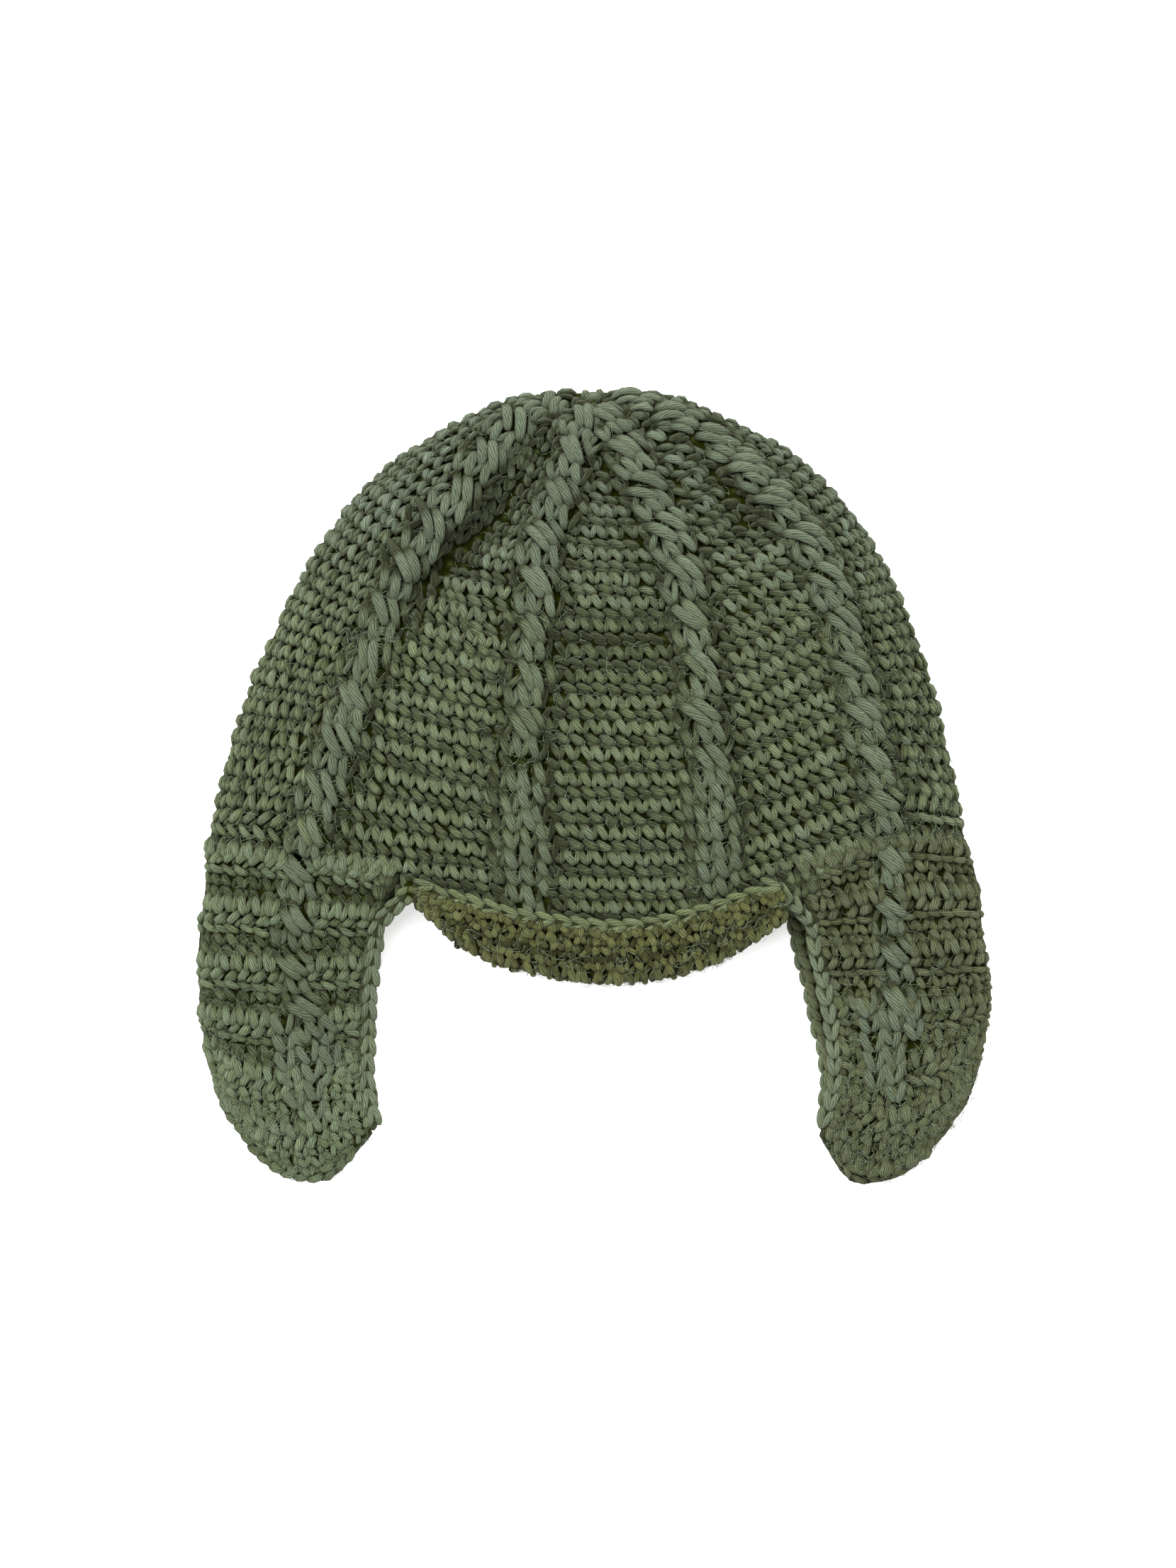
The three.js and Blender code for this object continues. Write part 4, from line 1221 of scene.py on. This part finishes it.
class CAP_OT_cables(bpy.types.Operator):
    """Works the raised cables of the front and of the flaps."""

    bl_idname = "cap.cables"
    bl_label = "Cables"

    def execute(self, context):
        yarn = context.scene.cap_yarn
        radius = yarn.radius / MM
        skein = Skein(yarn.seed + 40)
        for cable in (1, 2, 3, 4):
            last = CROSSED_TO[cable]
            frames = along_cable(cable, 0.05, last, CABLE_PITCH, CABLE_PITCH * 0.45)
            # A bluer painted sheen on the raised cables.
            painted_haze_share = painted_haze_on_crown(frames) + 0.2
            crossings(skein, frames, radius, painted_haze_share, narrowed(frames, *NARROWING[cable]), True)
            for x in VEES.get(cable, ()):
                column = along_cable(cable, last, VEES_TO, 6.6, 2 + skein.random.random() * 3)
                legs(skein, column, x, radius, painted_haze_on_crown(column) + 0.2, np.ones(len(column.at)), 3.5)
        material = yarn_of(context, "wool_cable")
        strand = Strand(8, 9)
        finish(skein.weave("crown_cables", strand), material, "crown_yarn")
        skein = Skein(yarn.seed + 41)
        for side in ("left", "right"):
            surface = FLAP_SURFACES[side, True]
            frames = along_path(surface, FLAP_CABLES[side], CABLE_PITCH, 4)
            crossings(skein, frames, radius, 0.45, np.full(len(frames.at), FLAP_NARROW))
            for loop in FLAP_LOOPS[side]:
                self.loop_column(skein, along_path(surface, loop, 6.2, 2), radius)
        finish(skein.weave("flap_cables", strand), material, "flap_yarn")
        return {"FINISHED"}

    def loop_column(self, skein, frames, radius):
        """A column of U-shaped loops, each with its two legs up."""
        for lean, girth, broad in ((-1, 1.2, 1.35), (1, 1.05, 1.2)):
            leg = np.array([(lean * 2.6, 3.6, -0.8), (lean * 2.1, 0.4, 1.2), (lean * 0.4, -3.2, 0.2)])
            skein.lay(frames, leg, radius * girth, 0.45, 0.6, 0.3, broad)


# Flaps
# The rows of one band of a flap: kind, height and rise.
FLAP_PERIOD = (
    ("tall", 5.0, 0.1),
    ("short", 3.8, 0.15),
    ("braid", 2.7, 0.1),
    ("sunk", 3.4, 0.1),
    ("sunk", 3.2, 0.0),
)
ROWS_BEFORE = 2.5
TIP_BORDER = 4.0
STARS_FROM = 0.72
LAST_BACK_ROW = 0.9
UP = (0, 0, 1.0)


def flap_rows(flap):
    """Kind, b, height and rise of each row of a flap."""
    b = np.linspace(0, 1, 400)
    down = flap.down(b)
    rows = []
    at = -RIDGE_AHEAD - ROWS_BEFORE
    index = 0
    while at < down[-1] - TIP_BORDER:
        kind, height, rise = FLAP_PERIOD[index % len(FLAP_PERIOD)]
        middle = at + height / 2
        if middle > -ROWS_BEFORE:
            rows.append((kind, max(0.004, float(np.interp(middle, down, b))), height, rise))
        at += height
        index += 1
    return rows


def clear_of(frames, paths, distance):
    """Which frames lie away from the cables' paths."""
    clear = np.ones(len(frames.at), bool)
    for path in paths:
        away = np.linalg.norm(frames.at[:, None, :2] - dense_line(path, 60)[None], axis=-1).min(axis=1)
        clear &= away > distance
    return clear


def flap_rim(flap, inwards, inset=2.1):
    """Points just inside a flap's outline, down its outer fold and round its tip."""
    b = np.linspace(0.02, 0.98, 26)
    a = np.linspace(0.03, 0.97, 18)
    line = np.concatenate([flap.front(np.zeros_like(b), b), flap.front(a, np.ones_like(a))])
    return line + beside(np.gradient(line, axis=0), inwards) * inset


class CAP_OT_flaps(bpy.types.Operator):
    """Works both flaps: bold ridges on the front, plain rows on the back."""

    bl_idname = "cap.flaps"
    bl_label = "Flap stitches"

    def execute(self, context):
        yarn = context.scene.cap_yarn
        radius = yarn.radius / MM
        for side, flap, inwards in (("left", LEFT, 1), ("right", RIGHT, -1)):
            front = Skein(yarn.seed + 60)
            back = Skein(yarn.seed + 61)
            for kind, b, height, rise in flap_rows(flap):
                self.front_row(front, side, kind, b, height, rise, yarn)
                self.back_row(back, side, b, height, yarn)
            self.border(front, side, flap, inwards, radius)
            side_columns(back, flap_rim(flap, inwards, 0), inwards, ((0.55, 2.2),), radius)
            material = yarn_of(context, f"wool_flap_{side}")
            finish(front.weave(f"earflap_{side}_stitches", Strand(6, 5)), material, "flap_yarn")
            finish(back.weave(f"earflap_{side}_back_stitches", Strand(5, 4)), material, "flap_yarn")
        return {"FINISHED"}

    def front_row(self, skein, side, kind, b, height, rise, yarn):
        """A row of the front, which leaves room for the cable and, near the tip, for the border."""
        surface = FLAP_SURFACES[side, True]
        u, gap = surface.row(0, 1, b, yarn.stitch_width / MM, (4.5 * step(0.58, 0.75, b), 0))
        frames = surface.frames(u, np.full_like(u, b))
        local = height * np.clip(frames.pitch / np.median(frames.pitch), 0.45, 1.3)
        clear = clear_of(frames, [FLAP_CABLES[side]], 4.5) & clear_of(frames, FLAP_LOOPS[side], 1.0)
        kind = "star" if b > STARS_FROM and kind in ("braid", "sunk") else kind
        kind = "star" if side == "right" and kind == "sunk" else kind
        # Painted shade: sunk and star rows, and all of the right flap, look darker.
        painted_light = (0.0 if kind in ("sunk", "star") else 0.1) - (0.25 if side == "right" else 0.05)
        thick = yarn.radius / MM * (0.88 if kind == "star" else 1)
        skein.stitch(frames.pick(clear), kind, gap, local[clear] * 1.05, thick, 0.28, painted_light, rise, 0.28)

    def back_row(self, skein, side, b, height, yarn):
        """A plain row of the back, where the front has one."""
        surface = FLAP_SURFACES[side, False]
        b = min(b, LAST_BACK_ROW)
        u, gap = surface.row(0, 1, b, yarn.stitch_width / MM, (2 + 3 * step(0.5, 0.75, b), 1))
        frames = surface.frames(u, np.full_like(u, b))
        local = height * np.clip(frames.pitch / np.median(frames.pitch), 0.45, 1.0)
        skein.stitch(frames, "plain", gap, local * 1.1, yarn.radius / MM, 0.2, 0.6, -0.7, 0.1)

    def border(self, skein, side, flap, inwards, radius):
        """Stitches that follow the tip, what shows inside the right flap, and ropes under both edges."""
        path = flap_rim(flap, inwards, 3.3)[16::2, :2]
        frames = along_path(FLAP_SURFACES[side, True], path, 4.3, 1.0)
        skein.stitch(frames, "star", 4.8, 5.0, radius * 0.92, 0.28, -0.1)
        if side == "right":
            self.inside(skein, flap, radius)
        inner = flap_edge(flap, True, np.linspace(0.02, 0.95, 16), inwards, 0.5)
        for line in (flap_rim(flap, inwards), inner):
            rope(skein, chain_frames(line, UP, 4.0), radius * 1.75, 0.25)

    def inside(self, skein, flap, radius):
        """The back layer's inner face, which shows beside the front layer's edge."""
        for offset, rise in ((-3.6, 3.6), (0.4, 2.6)):
            line = flap_edge(flap, False, np.linspace(0.02, 0.94, 20), -1, offset)
            frames = chain_frames(line, UP, 4.4)
            rope(skein, frames, radius * 2.0, 0.2)
            skein.stitch(frames, "star", 4.8, 4.8, radius, 0.15, 0.4, rise)


# Brim
CREASED_ROW = 3


class CAP_OT_brim(bpy.types.Operator):
    """Works the turned-up brim, whose wrong side shows, round its fold and up its inside."""

    bl_idname = "cap.brim"
    bl_label = "Brim stitches"

    def execute(self, context):
        yarn = context.scene.cap_yarn
        width = yarn.stitch_width / MM
        radius = yarn.radius / MM * 0.95
        skein = Skein(yarn.seed + 80)
        for row in range(BRIM_ROWS + NOSE_ROWS + INNER_ROWS):
            v = row + 0.5
            shift = 0.012 if row % 2 else -0.012
            u, gap = BRIM.row(BRIM_K[0] + 0.02 + shift, BRIM_K[-1] - 0.02 + shift, v, width)
            frames = BRIM.frames(u, np.full_like(u, v))
            kind = ("fan", "star")[row % 2]
            # The creased row lies lower and is painted darker, as shade.
            crease = -0.6 if row == CREASED_ROW else 0
            skein.stitch(frames, kind, gap, frames.pitch * 1.02, radius, 0.0, crease - 0.2, crease, 0.35)
        piece = skein.weave("front_brim_stitches", Strand(6, 5))
        finish(piece, yarn_of(context, "wool_brim"), "brim_yarn")
        return {"FINISHED"}


# Edging
def flap_edge(flap, front, shares, inwards, offset=2.3):
    """Points beside a flap's inner edge, where the chain lies, so many millimetres off it."""
    ones = np.ones_like(shares)
    reach = np.full_like(shares, 0.01)
    at = flap.point(front, ones, shares)
    below = flap.point(front, ones, np.minimum(1, shares + reach))
    above = flap.point(front, ones, shares - reach)
    offset = np.where(shares > 0.95, np.minimum(offset, 1.0), offset)
    at = at + beside(below - above, inwards) * offset[:, None]
    at[:, 2] += -0.9 if front else 2.2
    return at


def chain_frames(points, outs, pitch):
    """Frames a pitch apart along a line of points, looking out as each point does, or all alike."""
    count = len(points)
    line = dense_line(points, count * 12)
    looks = dense_line(np.broadcast_to(outs, (count, 3)), count * 12)
    run = run_along(line)
    at = np.arange(pitch / 2, run[-1], pitch)
    up = read_off(line, run, at - 0.8) - read_off(line, run, at + 0.8)
    return Frames(read_off(line, run, at), up, read_off(looks, run, at), np.ones(len(at)))


def rope(skein, frames, radius, painted_haze_share):
    """Thick strands end to end, which fill the space behind stitches."""
    core = np.array([(0, 4.2, -0.9), (0, 0, -0.8), (0, -4.2, -0.9)])
    # Painted shade: the rope is painted dark, as the space behind stitches is.
    skein.lay(frames, core, radius, painted_haze_share, -0.8, 0.05)


def chain(skein, frames, radius, painted_haze_share, painted_light):
    """A chain of V's on a core."""
    rope(skein, frames, radius * 1.45, painted_haze_share - 0.2)
    for side, girth in ((-1, 1.05), (1, 0.98)):
        leg = np.array([(side * 1.9, 3.6, -0.7), (side * 1.35, 0.4, 1.0), (side * 0.1, -3.4, 0.2)])
        skein.lay(frames, leg, radius * girth, painted_haze_share, painted_light, 0.12, 1.2)


EDGE_SHARES = np.array([0.955, 0.92, 0.87, 0.79, 0.7, 0.6, 0.48, 0.36, 0.27, 0.19])
TOP_SHARE_BEHIND = 0.1
BACK_RIM_K = (6.55, 8.45)
BACK_RIM_DOWN = 1.6
BACK_RIM_Z = 2.3
BRIM_CHAIN_UNDER = 2.4


def looks_of(*parts):
    """The way out at each point of a line, from a direction and a count of points for each part of it."""
    return np.concatenate([np.tile(look, (count, 1)) for look, count in parts])


def front_edge():
    """The chain's points up the left flap, over the brim and down the right flap, and their ways out."""
    k = np.linspace(BRIM_K[0] + 0.04, BRIM_K[-1] - 0.06, 22)
    t = curve(BRIM_K, BRIM_EDGE, k) - 1.0 / units_per_ring(k)
    brim = over_crown(k, t, np.full_like(k, CUFF_GAP + WALL - BRIM_CHAIN_UNDER))
    left = flap_edge(LEFT, True, EDGE_SHARES, 1)
    right = flap_edge(RIGHT, True, EDGE_SHARES[::-1], -1)
    looks = looks_of(((0.25, 0, 1), len(left)), (UP, len(brim)), ((-0.25, 0, 1), len(right)))
    return np.concatenate([left, brim, right]), looks


def back_edge():
    """The same up the right flap's back layer, along the back rim and down the left one's."""
    k = np.linspace(*BACK_RIM_K, 18)
    rim = crown_back(k, np.interp(k, RIM_K, RIM_T))
    rim[:, 1] -= BACK_RIM_DOWN
    rim[:, 2] = BACK_RIM_Z
    shares = np.append(EDGE_SHARES[2:], TOP_SHARE_BEHIND)
    right = flap_edge(RIGHT, False, shares, -1)
    left = flap_edge(LEFT, False, shares[::-1], 1)
    on_right, on_rim, on_left = (-0.75, 0, 0.65), (0, -0.6, -0.8), (0.6, 0, -0.8)
    looks = looks_of((on_right, len(right)), (on_rim, len(rim)), (on_left, len(left)))
    return np.concatenate([right, rim, left]), looks


class CAP_OT_edging(bpy.types.Operator):
    """Works the chain round the free edge: flaps, notches, brim and back rim."""

    bl_idname = "cap.edging"
    bl_label = "Edging"

    def execute(self, context):
        yarn = context.scene.cap_yarn
        skein = Skein(yarn.seed + 90)
        radius = yarn.radius / MM
        frames = chain_frames(*front_edge(), EDGING_PITCH)
        # Painted light: the chain is lighter and hazier on the flaps than over the brim.
        on_flap = step(57, 70, np.abs(frames.at[:, 0]))
        chain(skein, frames, radius, 0.4 * on_flap, 0.5 * on_flap)
        chain(skein, chain_frames(*back_edge(), EDGING_PITCH), radius, 0.3, 0.5)
        piece = skein.weave("edging_chain", Strand(8, 7))
        nodes = ("edging_brim", "edging_left", "edging_right", "edging_back")
        finish(piece, yarn_of(context, "wool_edging"), "edging_yarn", *nodes)
        return {"FINISHED"}


# Fuzz
FIBRE_RADIUS = 0.06
FIBRE_REACH = (1.2, 3.2)
SHARE_NEAR_CABLES = 0.45


def fibre_paths(random, count):
    """Three points for each fibre, which lies any way and stands up in the middle."""
    turn = random.uniform(0, 2 * np.pi, count)
    reach = random.uniform(*FIBRE_REACH, count)
    lean = np.stack([np.cos(turn), np.sin(turn)], axis=-1) * reach[:, None]
    paths = np.zeros((count, 3, 3))
    paths[:, 0, :2] = -lean
    paths[:, 2, :2] = lean + random.normal(0, 0.7, (count, 2))
    paths[:, 1, :2] = random.normal(0, 0.8, (count, 2))
    paths[:, 0, 2] = -0.3
    paths[:, 1, 2] = random.uniform(0.7, 1.7, count)
    paths[:, 2, 2] = random.uniform(0.2, 1.6, count)
    return paths


class CAP_OT_fuzz(bpy.types.Operator):
    """Adds loose fibres that stand off the yarn, more on the raised cables."""

    bl_idname = "cap.fuzz"
    bl_label = "Fuzz"

    def execute(self, context):
        yarn = context.scene.cap_yarn
        skein = Skein(yarn.seed + 99)
        random = skein.random
        total = yarn.fibres
        spread = (
            (CROWN_FRONT, total // 2, (0, 5), (0.06, 1.0)),
            (FLAP_SURFACES["left", True], total // 7, (0, 1), (0, 1)),
            (FLAP_SURFACES["right", True], total // 7, (0, 1), (0, 1)),
            (BRIM, total // 16, (BRIM_K[0] + 0.02, BRIM_K[-1] - 0.02), (0.2, 8)),
        )
        for surface, count, across, down in spread:
            u = random.uniform(*across, count)
            if surface is CROWN_FRONT:
                near = random.random(count) < SHARE_NEAR_CABLES
                u = np.where(near, np.clip(np.round(u), 1, 4) + random.normal(0, 0.09, count), u)
            v = down[0] + (down[1] - down[0]) * np.sqrt(random.random(count))
            frames = surface.frames(u, v)
            skein.lay(frames, fibre_paths(random, count), FIBRE_RADIUS, 0.6, 0.6, 0.3)
        finish(skein.weave("fuzz", Strand(3, 4)), yarn_of(context, "wool_fuzz"), "crown_yarn")
        return {"FINISHED"}


# Stage, in metres
AIM = Vector((0, 0, 0.02))
# The floor glows: painted light that pales the shadows on it and lights the cap from below.
FLOOR_GLOW = 0.45
# Name, place, size and share of the key light's power.
LIGHTS = (
    ("key", (-0.36, 0.52, 1.6), 1.1, 1.0),
    ("rim", (0.9, 0.5, 1.2), 1.2, 0.2),
)
SENSOR = 36
FRAMED_AT = 0.011
VIEWER_XY = (-0.002, 0.0012)


def area_light(name, place, size, power):
    """A square soft light that looks at the cap."""
    light = bpy.data.lights.new(name, "AREA")
    light.size = size
    light.energy = power
    lamp = bpy.data.objects.new(name, light)
    turn = (AIM - Vector(place)).to_track_quat("-Z", "Y")
    lamp.matrix_world = Matrix.Translation(place) @ turn.to_matrix().to_4x4()
    bpy.context.scene.collection.objects.link(lamp)


class CAP_OT_stage(bpy.types.Operator):
    """Makes the pale floor, the soft light and the camera over the cap."""

    bl_idname = "cap.stage"
    bl_label = "Stage"

    def execute(self, context):
        scene = context.scene
        stage = scene.cap_stage
        shape = bmesh.new()
        bmesh.ops.create_grid(shape, x_segments=1, y_segments=1, size=3.0)
        mesh = bpy.data.meshes.new("floor")
        shape.to_mesh(mesh)
        shape.free()
        floor = bpy.data.objects.new("floor", mesh)
        scene.collection.objects.link(floor)
        floor.data.materials.append(floor_material("pale_floor", stage.floor_color, 0.8, FLOOR_GLOW))
        for name, place, size, share in LIGHTS:
            area_light(name, place, size, stage.key_power * share)
        world = bpy.data.worlds.new("soft_room")
        world.use_nodes = True
        background = next(node for node in world.node_tree.nodes if node.type == "BACKGROUND")
        background.inputs["Color"].default_value = (1, 1, 1, 1)
        background.inputs["Strength"].default_value = stage.fill
        scene.world = world
        scene.view_settings.view_transform = "Standard"
        camera = bpy.data.cameras.new("camera")
        camera.sensor_fit = "VERTICAL"
        camera.sensor_height = SENSOR
        camera.lens = SENSOR * (stage.camera_height - FRAMED_AT) / stage.frame_height
        viewer = bpy.data.objects.new("camera", camera)
        viewer.location = (*VIEWER_XY, stage.camera_height)
        scene.collection.objects.link(viewer)
        scene.camera = viewer
        return {"FINISHED"}


class CAP_PT_panel(bpy.types.Panel):
    """The cap's sizes, colours and steps."""

    bl_idname = "CAP_PT_panel"
    bl_label = "Earflap cap"
    bl_space_type = "VIEW_3D"
    bl_region_type = "UI"
    bl_category = "Cap"

    def draw(self, context):
        layout = self.layout
        for group in (context.scene.cap_yarn, context.scene.cap_stage):
            box = layout.box()
            for name in group.__annotations__:
                box.prop(group, name)
        for operator in OPERATORS:
            layout.operator(operator.bl_idname)


GROUPS = (CapYarn, CapStage)
OPERATORS = (
    CAP_OT_stage,
    CAP_OT_backing,
    CAP_OT_crown,
    CAP_OT_crown_back,
    CAP_OT_cables,
    CAP_OT_flaps,
    CAP_OT_brim,
    CAP_OT_edging,
    CAP_OT_fuzz,
)


def register():
    for kind in (*GROUPS, *OPERATORS, CAP_PT_panel):
        bpy.utils.register_class(kind)
    bpy.types.Scene.cap_yarn = PointerProperty(type=CapYarn)
    bpy.types.Scene.cap_stage = PointerProperty(type=CapStage)


def unregister():
    del bpy.types.Scene.cap_stage
    del bpy.types.Scene.cap_yarn
    for kind in reversed((*GROUPS, *OPERATORS, CAP_PT_panel)):
        bpy.utils.unregister_class(kind)


def main():
    register()
    bpy.ops.cap.stage()
    bpy.ops.cap.backing()
    bpy.ops.cap.crown()
    bpy.ops.cap.crown_back()
    bpy.ops.cap.cables()
    bpy.ops.cap.flaps()
    bpy.ops.cap.brim()
    bpy.ops.cap.edging()
    bpy.ops.cap.fuzz()


if __name__ == "__main__":
    main()
